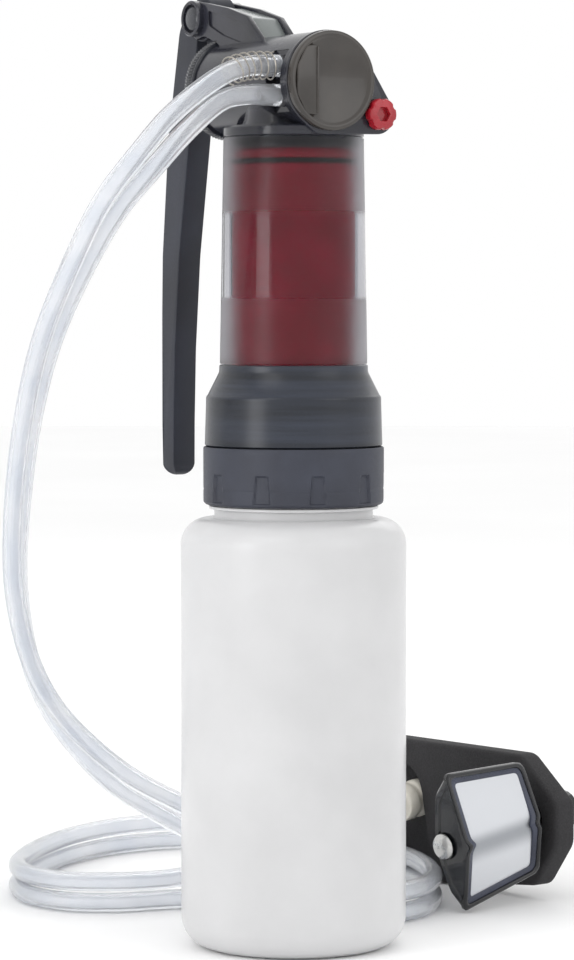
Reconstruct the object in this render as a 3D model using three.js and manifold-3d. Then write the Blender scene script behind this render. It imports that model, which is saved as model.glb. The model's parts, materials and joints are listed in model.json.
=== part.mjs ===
// Pump water filter: a lever pump head on a cartridge housing, screwed onto a one-litre
// wide-mouth bottle, with twin hoses and a prefilter on a foam float.
// Millimetres, +Z up. The origin is the centre of the bottle's flat base, on the floor.

import * as THREE from 'three';
import { mergeVertices } from 'three/addons/utils/BufferGeometryUtils.js';
import Module from 'manifold-3d';

const wasm = await Module();
wasm.setup();

// ---------------------------------------------------------------- driving dimensions

const GAP = 0.3;                    // clearance between pieces that touch
const TURN = Math.PI * 2;
const LARGE_SEGMENTS = 32;
const SMALL_SEGMENTS = 16;
const RING_SEGMENTS = 20;

const BOTTLE_RADIUS = 44.5;
const BOTTLE_WALL = 1.8;
const BOTTLE_CORNER = 12;
const SHOULDER_START = 159;
const SHOULDER_TOP = 169.6;
const NECK_RADIUS = 31.3;
const NECK_TOP = 194;

const RING_BOTTOM = 174.7;
const RING_TOP = 197.5;
const RING_RADIUS = 35.6;
const RING_POCKETS = 10;
const RING_POCKET_TURN = -110.5;    // degrees round to the middle of the first pocket

const BASE_TOP = 229.7;
const SOCKET_RADIUS = 27.8;
const CARTRIDGE_RADIUS = 24.2;
const CARTRIDGE_SHELL_WALL = 1.2;
const HOUSING_BOTTOM_RADIUS = 29;
const HOUSING_TOP_RADIUS = 27.6;
const HOUSING_BORE = 25.4;
const HOUSING_TOP = 318.5;

// The pump barrel lies level. Its own frame has +X along the barrel to the lever,
// +Y to the side where the hoses leave, and +Z up.
const HEAD_TURN = THREE.MathUtils.degToRad(122);
const HEAD_OFFSET = 1.5;            // barrel axis beside the bottle axis
const BARREL_Z = 339.6;
const BARREL_RADIUS = 19.2;
const BARREL_REAR = 41.5;
const NUT_RADIUS = 20.5;
const BORE_RADIUS = 16.2;
const BORE_START = -12;
const FLANGE_FRONT = -28.2;
const VALVE_CHAMBER_RADIUS = 13.2;
const VALVE_CHAMBER_END = -15;

const PIVOT_X = 58.5;
const PIVOT_Z = 368.5;
const CRANK = 31;                   // lever pivot to rod pin
const CRANK_REST = THREE.MathUtils.degToRad(22);
const ROD_PIN_X = PIVOT_X - CRANK * Math.sin(CRANK_REST);
const ROD_PIN_Z = PIVOT_Z - CRANK * Math.cos(CRANK_REST);
const ARM_INSIDE = 6.2;
const ARM_OUTSIDE = 8.8;

const RELIEF_Y = -22.6;
const RELIEF_Z = 327.1;
const RELIEF_BORE = 4.4;

const HOSE_RADIUS = 4;
const HOSE_SIDES = 8;
const HOSE_SPACING = 8.6;           // centre to centre of the twin hoses
const BARB_X = -18;
const INTAKE_Z = 345.2;
const PURGE_Z = 334;
const BARB_FLANGE = 14.8;
const BARB_TIP = 26;
const BARB_RADIUS = 2.6;

// The prefilter swivels on an axle. Its own frame has +X along the axle, away from the
// domed head, +Y away from the mesh face and +Z up.
const AXLE_HEAD = new THREE.Vector3(62.9, 75, 27.6);
const AXLE_YAW = THREE.MathUtils.degToRad(39.3);
const AXLE_PITCH = THREE.MathUtils.degToRad(8.2);
const STRAINER_LENGTH = 44;
const STRAINER_WALL = 2;
const FLOAT_FRONT = 48.6;
const FLOAT_BACK = 60;
const INLET_Y = 78;                 // hose inlet beside the axle

// ---------------------------------------------------------------- solids

const ALONG_X = new THREE.Matrix4().makeBasis(
  new THREE.Vector3(0, 1, 0), new THREE.Vector3(0, 0, 1), new THREE.Vector3(1, 0, 0));
const ALONG_Y = new THREE.Matrix4().makeBasis(
  new THREE.Vector3(0, 0, 1), new THREE.Vector3(1, 0, 0), new THREE.Vector3(0, 1, 0));

function signedVolume(positions, triangles) {
  const a = new THREE.Vector3();
  const b = new THREE.Vector3();
  const c = new THREE.Vector3();
  let volume = 0;
  for (const [i, j, k] of triangles) {
    a.fromArray(positions, i * 3);
    b.fromArray(positions, j * 3);
    c.fromArray(positions, k * 3);
    volume += a.dot(b.cross(c)) / 6;
  }
  return volume;
}

// A closed manifold solid from a three.js geometry, with its faces pointing out.
function solid(geometry) {
  const bare = geometry.clone();
  bare.deleteAttribute('normal');
  bare.deleteAttribute('uv');
  const merged = mergeVertices(bare, 1e-3);
  const index = merged.index.array;
  const positions = merged.attributes.position.array;
  let triangles = [];
  for (let n = 0; n < index.length; n += 3) {
    const [i, j, k] = [index[n], index[n + 1], index[n + 2]];
    if (i !== j && j !== k && k !== i) triangles.push([i, j, k]);
  }
  if (signedVolume(positions, triangles) < 0) triangles = triangles.map(([i, j, k]) => [i, k, j]);
  return new wasm.Manifold(new wasm.Mesh({
    numProp: 3,
    vertProperties: new Float32Array(positions),
    triVerts: new Uint32Array(triangles.flat()),
  }));
}

function unite(first, ...others) {
  return others.reduce((whole, piece) => whole.add(piece), first);
}

function cut(first, ...others) {
  return others.reduce((whole, piece) => whole.subtract(piece), first);
}

function geometryOf(body) {
  const { vertProperties, triVerts } = body.getMesh();
  const geometry = new THREE.BufferGeometry();
  geometry.setAttribute('position', new THREE.BufferAttribute(vertProperties, 3));
  geometry.setIndex(new THREE.BufferAttribute(triVerts, 1));
  geometry.computeVertexNormals();
  return geometry;
}

// Points of an arc round (cx, cy), angles in degrees.
function arc(cx, cy, radius, from, to, steps) {
  return Array.from({ length: steps + 1 }, (_, n) => {
    const angle = THREE.MathUtils.degToRad(from + (to - from) * n / steps);
    return [cx + radius * Math.cos(angle), cy + radius * Math.sin(angle)];
  });
}

// A turned solid round Z from [radius, height] points. It closes on itself off the axis.
function latheGeometry(profile, segments) {
  const points = profile.map(([r, z]) => new THREE.Vector2(r, z));
  const onAxis = profile[0][0] === 0 && profile.at(-1)[0] === 0;
  if (!onAxis) points.push(points[0].clone());
  return new THREE.LatheGeometry(points, segments).rotateX(Math.PI / 2);
}

function turned(profile, segments = LARGE_SEGMENTS) {
  return solid(latheGeometry(profile, segments));
}

function turnedAlongX(profile, y, z, segments = SMALL_SEGMENTS) {
  return solid(latheGeometry(profile, segments).applyMatrix4(ALONG_X).translate(0, y, z));
}

function turnedAlongY(profile, x, z, segments = SMALL_SEGMENTS) {
  return solid(latheGeometry(profile, segments).applyMatrix4(ALONG_Y).translate(x, 0, z));
}

function rod(radius, from, to) {
  return [[0, from], [radius, from], [radius, to], [0, to]];
}

function sleeve(inner, outer, from, to) {
  return [[inner, from], [outer, from], [outer, to], [inner, to]];
}

function shapeOf(outline) {
  return new THREE.Shape(outline.map(([x, y]) => new THREE.Vector2(x, y)));
}

function prism(outline, depth) {
  return new THREE.ExtrudeGeometry(shapeOf(outline), { depth, bevelEnabled: false });
}

// An outline in X and Z, made thick from one Y to another.
function sideways(outline, yFrom, yTo) {
  return solid(prism(outline, yTo - yFrom).rotateX(Math.PI / 2).translate(0, yTo, 0));
}

// An outline in Y and Z, made thick from one X to another.
function lengthways(outline, xFrom, xTo) {
  return solid(prism(outline, xTo - xFrom).applyMatrix4(ALONG_X).translate(xFrom, 0, 0));
}

function block(from, to) {
  const size = to.map((value, n) => value - from[n]);
  const middle = to.map((value, n) => (value + from[n]) / 2);
  return solid(new THREE.BoxGeometry(...size).translate(...middle));
}

function torus(radius, wire, place) {
  return solid(place(new THREE.TorusGeometry(radius, wire, 5, RING_SEGMENTS)));
}

// The convex outline round a set of points, anticlockwise.
function hullOf(points) {
  const sorted = [...points].sort((p, q) => p[0] - q[0] || p[1] - q[1]);
  const turnOf = (o, p, q) => (p[0] - o[0]) * (q[1] - o[1]) - (p[1] - o[1]) * (q[0] - o[0]);
  const chain = (list) => list.reduce((hull, point) => {
    while (hull.length > 1 && turnOf(hull.at(-2), hull.at(-1), point) <= 1e-6) hull.pop();
    return [...hull, point];
  }, []);
  return [...chain(sorted).slice(0, -1), ...chain(sorted.reverse()).slice(0, -1)];
}

function circle(cx, cy, radius, steps = 28) {
  return arc(cx, cy, radius, 0, 360, steps).slice(0, -1);
}

// A solid lofted between two outlines with the same number of points.
function loft(near, far) {
  const count = near.length;
  const positions = [...near, ...far].flat();
  const index = [];
  for (let n = 0; n < count; n += 1) {
    const next = (n + 1) % count;
    index.push(n, next, count + n, next, count + next, count + n);
  }
  for (let n = 1; n < count - 1; n += 1) {
    index.push(0, n + 1, n, count, count + n, count + n + 1);
  }
  const geometry = new THREE.BufferGeometry();
  geometry.setAttribute('position', new THREE.Float32BufferAttribute(positions, 3));
  geometry.setIndex(index);
  return solid(geometry);
}

// A tube along a smooth curve through the points.
function tubeAlong(points, radius, sides, steps) {
  const path = new THREE.CatmullRomCurve3(points, false, 'centripetal');
  const section = shapeOf(circle(0, 0, radius, sides));
  return solid(new THREE.ExtrudeGeometry(section, { steps, extrudePath: path }));
}

function helixPoints(radius, from, to, turns, stepsPerTurn) {
  const count = Math.round(turns * stepsPerTurn);
  return Array.from({ length: count + 1 }, (_, n) => {
    const angle = TURN * n / stepsPerTurn;
    return new THREE.Vector3(
      radius * Math.cos(angle), radius * Math.sin(angle), from + (to - from) * n / count);
  });
}

// ---------------------------------------------------------------- bottle and its ring

function bottle() {
  const inner = BOTTLE_RADIUS - BOTTLE_WALL;
  const cornerAt = BOTTLE_RADIUS - BOTTLE_CORNER;
  const shoulder = SHOULDER_TOP - SHOULDER_START;
  const shoulderAt = BOTTLE_RADIUS - shoulder;
  const mouth = NECK_RADIUS - 2;
  return turned([
    [0, 0],
    ...arc(cornerAt, BOTTLE_CORNER, BOTTLE_CORNER, -90, 0, 4),
    ...arc(shoulderAt, SHOULDER_START, shoulder, 0, 90, 4),
    [NECK_RADIUS, SHOULDER_TOP + 0.4],
    [NECK_RADIUS, 172.9],
    [33.4, 173.2],
    [33.4, 174.2],
    [NECK_RADIUS, 174.5],
    [NECK_RADIUS, NECK_TOP],
    [mouth, NECK_TOP],
    [mouth, SHOULDER_TOP],
    ...arc(shoulderAt, SHOULDER_START, shoulder - BOTTLE_WALL, 90, 0, 2),
    ...arc(cornerAt, BOTTLE_CORNER, BOTTLE_CORNER - BOTTLE_WALL, 0, -90, 2),
    [0, BOTTLE_WALL],
  ]);
}

function bottleGasket() {
  return turned(sleeve(27.5, 31, NECK_TOP + GAP, NECK_TOP + 2), RING_SEGMENTS);
}

function bottleRing() {
  const pocketDepth = 0.9;
  const pocketOutline = [[-3.4, 176.2], [3.4, 176.2], [2.4, 187], [-2.4, 187]];
  const body = turned([
    [NECK_RADIUS + 0.6, RING_BOTTOM],
    [RING_RADIUS - 1.2, RING_BOTTOM],
    [RING_RADIUS, RING_BOTTOM + 1.4],
    [RING_RADIUS, RING_TOP],
    [NECK_RADIUS + 0.6, RING_TOP],
  ]);
  const pocket = lengthways(pocketOutline, RING_RADIUS - pocketDepth, RING_RADIUS + 2);
  const pockets = Array.from({ length: RING_POCKETS }, (_, n) =>
    pocket.rotate([0, 0, RING_POCKET_TURN + 360 * n / RING_POCKETS]));
  return cut(body, ...pockets);
}

// ---------------------------------------------------------------- cartridge housing

function outletBase() {
  const outlet = 4;
  return turned([
    [outlet, NECK_TOP + 2.3],
    [NECK_RADIUS, NECK_TOP + 2.3],
    [NECK_RADIUS, RING_TOP + GAP],
    [35, RING_TOP + GAP],
    [34.5, 215],
    ...arc(32.6, 216.4, 1.9, 0, 50, 3),
    [29.5, 226.5],
    [29.2, BASE_TOP],
    [SOCKET_RADIUS, BASE_TOP],
    [SOCKET_RADIUS, 218.9],
    [25.2, 218.9],
    [25.2, 203],
    [outlet, 203],
  ]);
}

function cartridgeHousing() {
  const spigot = SOCKET_RADIUS - GAP;
  return turned([
    [HOUSING_BORE, 219.2],
    [spigot, 219.2],
    [spigot, 222],
    [26.2, 222],
    [26.2, 224],
    [spigot, 224],
    [spigot, BASE_TOP + GAP],
    [HOUSING_BOTTOM_RADIUS, BASE_TOP + GAP],
    [HOUSING_TOP_RADIUS, HOUSING_TOP],
    [HOUSING_BORE, HOUSING_TOP],
  ]);
}

function lowerHousingSeal() {
  return torus(27, 0.55, (ring) => ring.translate(0, 0, 223));
}

function upperHousingSeal() {
  return torus(24.55, 0.55, (ring) => ring.translate(0, 0, 316.4));
}

const SHELL_BOTTOM = 209;
const SHELL_TOP = 308;
const CARTRIDGE_TOP = 314;
const CARTRIDGE_BOTTOM = 203.3;
const PLUG_RADIUS = CARTRIDGE_RADIUS - CARTRIDGE_SHELL_WALL - GAP;
const PLUG_LENGTH = 5.5;

function cartridgeShell() {
  const inner = CARTRIDGE_RADIUS - CARTRIDGE_SHELL_WALL;
  return turned(sleeve(inner, CARTRIDGE_RADIUS, SHELL_BOTTOM, SHELL_TOP));
}

function cartridgeTopCap() {
  const port = 3;
  return turned([
    [port, SHELL_TOP - PLUG_LENGTH],
    [PLUG_RADIUS, SHELL_TOP - PLUG_LENGTH],
    [PLUG_RADIUS, SHELL_TOP + 2.3],
    [CARTRIDGE_RADIUS, SHELL_TOP + 2.3],
    [CARTRIDGE_RADIUS - 0.8, CARTRIDGE_TOP],
    [port, CARTRIDGE_TOP],
  ]);
}

function cartridgeSeal() {
  return torus(24.25, 0.85, (ring) => ring.translate(0, 0, SHELL_TOP + 1.15));
}

function cartridgeBottomCap() {
  const port = 3;
  return turned([
    [port, CARTRIDGE_BOTTOM],
    [CARTRIDGE_RADIUS - 0.6, CARTRIDGE_BOTTOM],
    [CARTRIDGE_RADIUS, 204],
    [CARTRIDGE_RADIUS, 205],
    [23.4, 205],
    [23.4, 207],
    [CARTRIDGE_RADIUS, 207],
    [CARTRIDGE_RADIUS, SHELL_BOTTOM - GAP],
    [PLUG_RADIUS, SHELL_BOTTOM - GAP],
    [PLUG_RADIUS, SHELL_BOTTOM + PLUG_LENGTH],
    [port, SHELL_BOTTOM + PLUG_LENGTH],
  ]);
}

function cartridgeBottomSeal() {
  return torus(24.35, 0.6, (ring) => ring.translate(0, 0, 206));
}

function fibreBundle() {
  const from = SHELL_BOTTOM + PLUG_LENGTH + GAP;
  const to = SHELL_TOP - PLUG_LENGTH - GAP;
  return turned(rod(PLUG_RADIUS - 1, from, to), RING_SEGMENTS);
}

// ---------------------------------------------------------------- pump head

const DISC_RADIUS = HOUSING_TOP_RADIUS;
const DISC_BOTTOM = HOUSING_TOP + GAP;
const DISC_TOP = 323;
const FEED_X = -18;                 // water passage from the valves to the cartridge

function frontFlange() {
  const lobes = [
    ...circle(0, BARREL_Z, 19.6),
    ...circle(RELIEF_Y, RELIEF_Z, 7.6, 20),
    ...circle(4, 323.4, 4.4, 16),
  ];
  return lengthways(hullOf(lobes), FLANGE_FRONT, -26);
}

function reliefBoss() {
  const web = hullOf([...circle(RELIEF_Y, RELIEF_Z, 6.7, 20), ...circle(-8, 336, 9, 20)]);
  return lengthways(web, -26.5, -12);
}

// The two arms that carry the lever's pivot, with their end bosses and the web between.
function pivotArms() {
  const boss = circle(PIVOT_X, PIVOT_Z, 7.2, 24);
  const root = [[38.5, 350], [5, 350], [7, 356.5], [12.5, 361.5], [18.5, 367]];
  const arm = hullOf([...root, [33, 371.2], ...boss]);
  const underside = [[39.2, 340], [39.2, 357], [PIVOT_X - 7.2, 361.3], [PIVOT_X + 9, 358], [70, 340]];
  const bossOutside = 11.4;
  const sides = [1, -1].flatMap((side) => {
    const plate = sideways(arm, ...[side * ARM_INSIDE, side * ARM_OUTSIDE].sort((p, q) => p - q));
    const ends = [side * ARM_INSIDE, side * bossOutside].sort((p, q) => p - q);
    const cup = cut(
      turnedAlongY(rod(7.2, ...ends), PIVOT_X, PIVOT_Z, 24),
      turnedAlongY(rod(5.7, 9.4, 12), PIVOT_X, PIVOT_Z, 24),
      turnedAlongY(rod(5.7, -12, -9.4), PIVOT_X, PIVOT_Z, 24));
    return [cut(plate, sideways(underside, -12, 12)), cup];
  });
  const web = sideways([[11, 357], [14, 357], [21, 364.2], [46, 370], [46, 372.4], [20, 366.6]],
    -ARM_INSIDE - 1, ARM_INSIDE + 1);
  return cut(unite(...sides, web),
    turnedAlongY(rod(2.9, -12, 12), PIVOT_X, PIVOT_Z),
    turnedAlongX(rod(NUT_RADIUS + 0.6, BARREL_REAR, 52), 0, BARREL_Z, LARGE_SEGMENTS));
}

function headBody() {
  const barrel = turnedAlongX(rod(BARREL_RADIUS, -27, BARREL_REAR), 0, BARREL_Z, LARGE_SEGMENTS);
  const disc = turned(rod(DISC_RADIUS, DISC_BOTTOM, DISC_TOP)).translate(0, -HEAD_OFFSET, 0);
  const spigot = turned([
    [22, 314.5], [25.1, 314.5], [25.1, 315.5], [23.8, 315.5], [23.8, 317.3], [25.1, 317.3],
    [25.1, DISC_BOTTOM + 1], [22, DISC_BOTTOM + 1],
  ]).translate(0, -HEAD_OFFSET, 0);
  const saddle = turned([[0, DISC_TOP - 1], [20, DISC_TOP - 1], [17.6, 327], [16.8, 336], [0, 336]]);
  const whole = unite(barrel, disc, spigot, saddle, frontFlange(), reliefBoss(), pivotArms());
  return cut(whole,
    turnedAlongX(rod(BORE_RADIUS, BORE_START, BARREL_REAR + 1), 0, BARREL_Z, 32),
    turnedAlongX(rod(VALVE_CHAMBER_RADIUS, FLANGE_FRONT - 1, VALVE_CHAMBER_END), 0, BARREL_Z, 32),
    turnedAlongX(rod(2.2, VALVE_CHAMBER_END - 1, BORE_START + 1), 0, BARREL_Z + 6, 12),
    turnedAlongX(rod(2.2, VALVE_CHAMBER_END - 1, BORE_START + 1), 0, BARREL_Z - 6, 12),
    turned(rod(3, 313, 328), 12).translate(FEED_X, 0, 0),
    block([-23.2, BARB_FLANGE - GAP, 327.5], [-12.6, 26, 351.5]),
    ...[INTAKE_Z, PURGE_Z].map((z) => turnedAlongY(rod(2.3, 8, 15), BARB_X, z, 12)),
    turnedAlongX(rod(RELIEF_BORE, FLANGE_FRONT - 1, -15.5), RELIEF_Y, RELIEF_Z),
    turnedAlongY(rod(1.4, RELIEF_Y, -9), BARB_X, 331.2, 10));
}

function rearNut() {
  const ribs = 22;
  const flangeFrom = BARREL_REAR + GAP;
  const flangeTo = 48.3;
  const body = turnedAlongX([
    [14.9, 36], [15.8, 36], [15.8, flangeFrom], [NUT_RADIUS, flangeFrom],
    [NUT_RADIUS, flangeTo - 0.8], [NUT_RADIUS - 0.8, flangeTo], [14.9, flangeTo],
  ], 0, BARREL_Z, LARGE_SEGMENTS);
  const notch = block([flangeFrom + 1, -0.9, 19.5], [flangeTo + 1, 0.9, 22]);
  const notches = Array.from({ length: ribs }, (_, n) =>
    notch.rotate([360 * n / ribs, 0, 0]).translate([0, 0, BARREL_Z]));
  return cut(body, ...notches);
}

const PISTON_FRONT = BORE_START + 0.4;
const PISTON_BACK = -3.6;
const ROD_END_X = 38.5;

function piston() {
  const radius = BORE_RADIUS - 0.4;
  return turnedAlongX([
    [0, PISTON_FRONT], [radius, PISTON_FRONT], [radius, -8.8], [14.1, -8.8], [14.1, -6.4],
    [radius, -6.4], [radius, PISTON_BACK], [0, PISTON_BACK],
  ], 0, BARREL_Z, 32);
}

function pistonSeal() {
  return torus(15.15, 0.75, (ring) =>
    ring.applyMatrix4(ALONG_X).translate(-7.6, 0, BARREL_Z));
}

// The rod ends in a fork. Its upright slots let the rod pin rise and fall on its arc.
function pistonRod() {
  const shaft = turnedAlongX(rod(6, PISTON_BACK + GAP, ROD_END_X), 0, BARREL_Z);
  const cheekTop = BARREL_Z + 7;
  const cheekBottom = BARREL_Z - 7;
  const fork = block([32, -6.4, cheekBottom], [ROD_PIN_X + 5.5, 6.4, cheekTop]);
  const mouth = block([ROD_END_X, -3.9, cheekBottom - 1], [ROD_PIN_X + 7, 3.9, cheekTop + 1]);
  const slot = hullOf([
    ...circle(ROD_PIN_X, BARREL_Z - 2.1, 2.6, 16), ...circle(ROD_PIN_X, BARREL_Z + 2.1, 2.6, 16)]);
  return cut(unite(shaft, fork), mouth, sideways(slot, -8, 8));
}

function rodPin() {
  return turnedAlongY(rod(2, -6.9, 6.9), ROD_PIN_X, ROD_PIN_Z, 16);
}

function lever() {
  const blade = [
    [63.5, 357], [65.5, 345], [69.5, 321], [77.8, 273], [81.4, 235], [82.5, 205],
    ...arc(87.1, 187.5, 4.6, 180, 350, 6), [91.9, 205], [91.9, 250], [91.4, 273],
    [86.6, 321], [77.4, 364], [74.5, 369], [70, 373.6], [60, 377],
  ];
  const lug = hullOf([
    ...circle(PIVOT_X, PIVOT_Z, 3.2, 16), ...circle(ROD_PIN_X, ROD_PIN_Z, 4.2, 16)]);
  return cut(
    unite(
      sideways(blade, -5.2, 5.2),
      turnedAlongY(rod(9, -5.8, 5.8), PIVOT_X, PIVOT_Z, 32),
      sideways(lug, -3.4, 3.4)),
    turnedAlongY(rod(2.9, -8, 8), PIVOT_X, PIVOT_Z),
    turnedAlongY(rod(2.3, -8, 8), ROD_PIN_X, ROD_PIN_Z, 16));
}

function pivotPin() {
  return turnedAlongY([[0, -11], [2.6, -11], [2.6, 9.7], [4.8, 9.7], [4.8, 10.6], [3.6, 11.2],
    [0, 11.2]], PIVOT_X, PIVOT_Z);
}

function pivotClip() {
  return turnedAlongY(sleeve(2.9, 4.8, -10.7, -9.7), PIVOT_X, PIVOT_Z);
}

const COVER_BACK = FLANGE_FRONT - GAP;
const COVER_FRONT = -31.2;

function valveCover() {
  const body = turnedAlongX([
    [0, COVER_FRONT + 0.9], [16.6, COVER_FRONT + 0.9], [17.4, COVER_FRONT], [18.6, COVER_FRONT],
    [19.3, COVER_FRONT + 0.8], [19.3, COVER_BACK], [12.8, COVER_BACK], [12.8, -27.9],
    [12, -27.9], [12, -26.5], [12.8, -26.5], [12.8, -25.6], [0, -25.6],
  ], 0, BARREL_Z, LARGE_SEGMENTS);
  const pad = hullOf([[7, 353], [7, 326], [12, 326.5], [16.2, 334], [16.2, 345], [12, 352.6]]);
  return unite(body, lengthways(pad, COVER_FRONT + 0.1, -30));
}

function coverSeal() {
  return torus(12.5, 0.4, (ring) => ring.applyMatrix4(ALONG_X).translate(-27.2, 0, BARREL_Z));
}

// The valve block fills the chamber. Each valve is a rubber disc in a round pocket.
const VALVE_LIFT = 6;
const VALVE_POCKET = 3;

function valveBlock() {
  const front = -25.2;
  const back = VALVE_CHAMBER_END - GAP;
  const body = turnedAlongX(rod(VALVE_CHAMBER_RADIUS - GAP, front, back), 0, BARREL_Z, 32);
  return cut(body,
    turnedAlongX(rod(2.2, -27, back + 1), 0, BARREL_Z + VALVE_LIFT, 12),
    turnedAlongX(rod(2.2, -27, back + 1), 0, BARREL_Z - VALVE_LIFT, 12),
    turnedAlongX(rod(4.8, back - VALVE_POCKET, back + 1), 0, BARREL_Z + VALVE_LIFT),
    turnedAlongX(rod(4.8, front - 1, front + VALVE_POCKET), 0, BARREL_Z - VALVE_LIFT),
    ...[INTAKE_Z, PURGE_Z].map((z) => turnedAlongY(rod(1.8, 0, 14), BARB_X - 1, z, 12)));
}

function valveDisc(z, from) {
  return turnedAlongX(rod(4.3, from, from + 1.2), 0, z);
}

function reliefKnob() {
  const front = -32.4;
  const back = -28.5;
  const lobes = 6;
  const body = turnedAlongX([
    [0, front], [5.4, front], [6.2, front + 0.8], [6.2, back], [4.1, back], [4.1, -27.4],
    [3.1, -27.4], [3.1, -26], [4.1, -26], [4.1, -24.6], [0, -24.6],
  ], RELIEF_Y, RELIEF_Z, 30);
  const scallops = Array.from({ length: lobes }, (_, n) => {
    const angle = TURN * (n + 0.5) / lobes;
    const y = RELIEF_Y + 6.9 * Math.cos(angle);
    const z = RELIEF_Z + 6.9 * Math.sin(angle);
    return turnedAlongX(rod(1.5, front - 1, back + 0.1), y, z, 12);
  });
  const socket = turnedAlongX(rod(2.7, front - 1, front + 2.2), RELIEF_Y, RELIEF_Z, 6);
  return cut(body, ...scallops, socket);
}

function reliefSeal() {
  return torus(3.7, 0.4, (ring) =>
    ring.applyMatrix4(ALONG_X).translate(-26.7, RELIEF_Y, RELIEF_Z));
}

function reliefSpring() {
  const points = helixPoints(2.8, -24.2, -20.5, 4, 8).map((p) =>
    p.applyMatrix4(ALONG_X).add(new THREE.Vector3(0, RELIEF_Y, RELIEF_Z)));
  return tubeAlong(points, 0.3, 4, 32);
}

function reliefPlunger() {
  return turnedAlongX([[0, -22.2], [1.3, -22.2], [1.3, -18.3], [3.9, -18.3], [3.9, -17.2],
    [1.3, -16.2], [0, -16.2]], RELIEF_Y, RELIEF_Z, 16);
}

function barb(z) {
  const bore = 1.5;
  return turnedAlongY([
    [bore, 13.6], [2, 13.6], [2, BARB_FLANGE], [4.4, BARB_FLANGE], [4.4, BARB_FLANGE + 2],
    [BARB_RADIUS, BARB_FLANGE + 2], [BARB_RADIUS, 20], [3, 20], [BARB_RADIUS, 22.6],
    [3, 22.6], [BARB_RADIUS - 0.3, BARB_TIP], [bore, BARB_TIP],
  ], BARB_X, z, 16);
}

// ---------------------------------------------------------------- prefilter

// Cross-sections of the strainer box at its near and far ends, as [y, z] round the axle.
const NEAR_SECTION = [
  [-4.8, 31.4], [-13.9, 0.7], [-7.5, -27.4], [-2.1, -22.4], [3.9, -5.8], [4.8, 5.4], [1.7, 24],
];
const FAR_SECTION = [
  [-4.6, 27], [-13.9, 2], [-8.2, -20.6], [-2.6, -17], [3.9, -4.6], [4.8, 4.6], [1.4, 20.6],
];

function sectionAt(x, inset) {
  const share = x / STRAINER_LENGTH;
  const outline = NEAR_SECTION.map(([y, z], n) => [
    y + (FAR_SECTION[n][0] - y) * share, z + (FAR_SECTION[n][1] - z) * share]);
  const edges = outline.map(([y, z], n) => {
    const [nextY, nextZ] = outline[(n + 1) % outline.length];
    const length = Math.hypot(nextY - y, nextZ - z);
    const normal = [-(nextZ - z) / length, (nextY - y) / length];
    return { normal, distance: normal[0] * y + normal[1] * z + inset };
  });
  return outline.map((_, n) => {
    const one = edges[(n + edges.length - 1) % edges.length];
    const two = edges[n];
    const scale = one.normal[0] * two.normal[1] - one.normal[1] * two.normal[0];
    return [x,
      (one.distance * two.normal[1] - two.distance * one.normal[1]) / scale,
      (two.distance * one.normal[0] - one.distance * two.normal[0]) / scale];
  });
}

// A flat panel over one facet of the strainer: its corners drawn in, made thick.
function facetPanel(corner, drawnIn, deep, proud) {
  const near = sectionAt(0, 0);
  const far = sectionAt(STRAINER_LENGTH, 0);
  const next = (corner + 1) % near.length;
  const quad = [near[corner], near[next], far[next], far[corner]].map((p) => new THREE.Vector3(...p));
  const middle = quad.reduce((sum, p) => sum.add(p), new THREE.Vector3()).divideScalar(4);
  const across = quad[1].clone().add(quad[2]).sub(quad[0]).sub(quad[3]).normalize();
  const along = quad[2].clone().add(quad[3]).sub(quad[0]).sub(quad[1]).normalize();
  const normal = new THREE.Vector3().crossVectors(along, across).normalize();
  const drawn = quad.map((p) => {
    const arm = p.clone().sub(middle);
    const run = arm.dot(along);
    const rise = arm.dot(across);
    return middle.clone()
      .addScaledVector(along, run - Math.sign(run) * drawnIn)
      .addScaledVector(across, rise - Math.sign(rise) * drawnIn);
  });
  const layer = (distance) => drawn.map((p) => p.clone().addScaledVector(normal, distance).toArray());
  return loft(layer(-deep), layer(proud));
}

const FRONT_UPPER = 0;
const FRONT_LOWER = 1;
const BACK_LOWER = 3;
const BACK_UPPER = 5;
const PANELS = { FRONT_UPPER, FRONT_LOWER, BACK_LOWER, BACK_UPPER };
const WINDOW_BORDER = 4.4;

function strainerFrame() {
  const shell = cut(
    loft(sectionAt(0, 0), sectionAt(STRAINER_LENGTH, 0)),
    loft(sectionAt(STRAINER_WALL, STRAINER_WALL),
      sectionAt(STRAINER_LENGTH - STRAINER_WALL, STRAINER_WALL)));
  return cut(shell,
    facetPanel(FRONT_UPPER, WINDOW_BORDER, 3, 4),
    facetPanel(FRONT_LOWER, WINDOW_BORDER, 3, 4),
    facetPanel(BACK_LOWER, WINDOW_BORDER, 3, 4),
    facetPanel(BACK_UPPER, WINDOW_BORDER, 3, 4),
    turnedAlongX(rod(2.6, -1, 4), 0, 0),
    turnedAlongX(rod(4.4, STRAINER_LENGTH - 4, STRAINER_LENGTH + 1), 0, 0));
}

function strainerMesh(corner) {
  return facetPanel(corner, WINDOW_BORDER + GAP, 1.5, -0.7);
}

function strainerAxle() {
  return turnedAlongX([
    [0, -3.4], [2.6, -3.1], [4.6, -2.2], [5.7, -GAP], [2.2, -GAP], [2.2, 58], [0, 58],
  ], 0, 0);
}

function strainerBush() {
  return turnedAlongX([[2.6, 41], [4, 41], [4, 44.4], [6, 44.4], [6, 45.6], [2.6, 45.6]], 0, 0);
}

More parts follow.
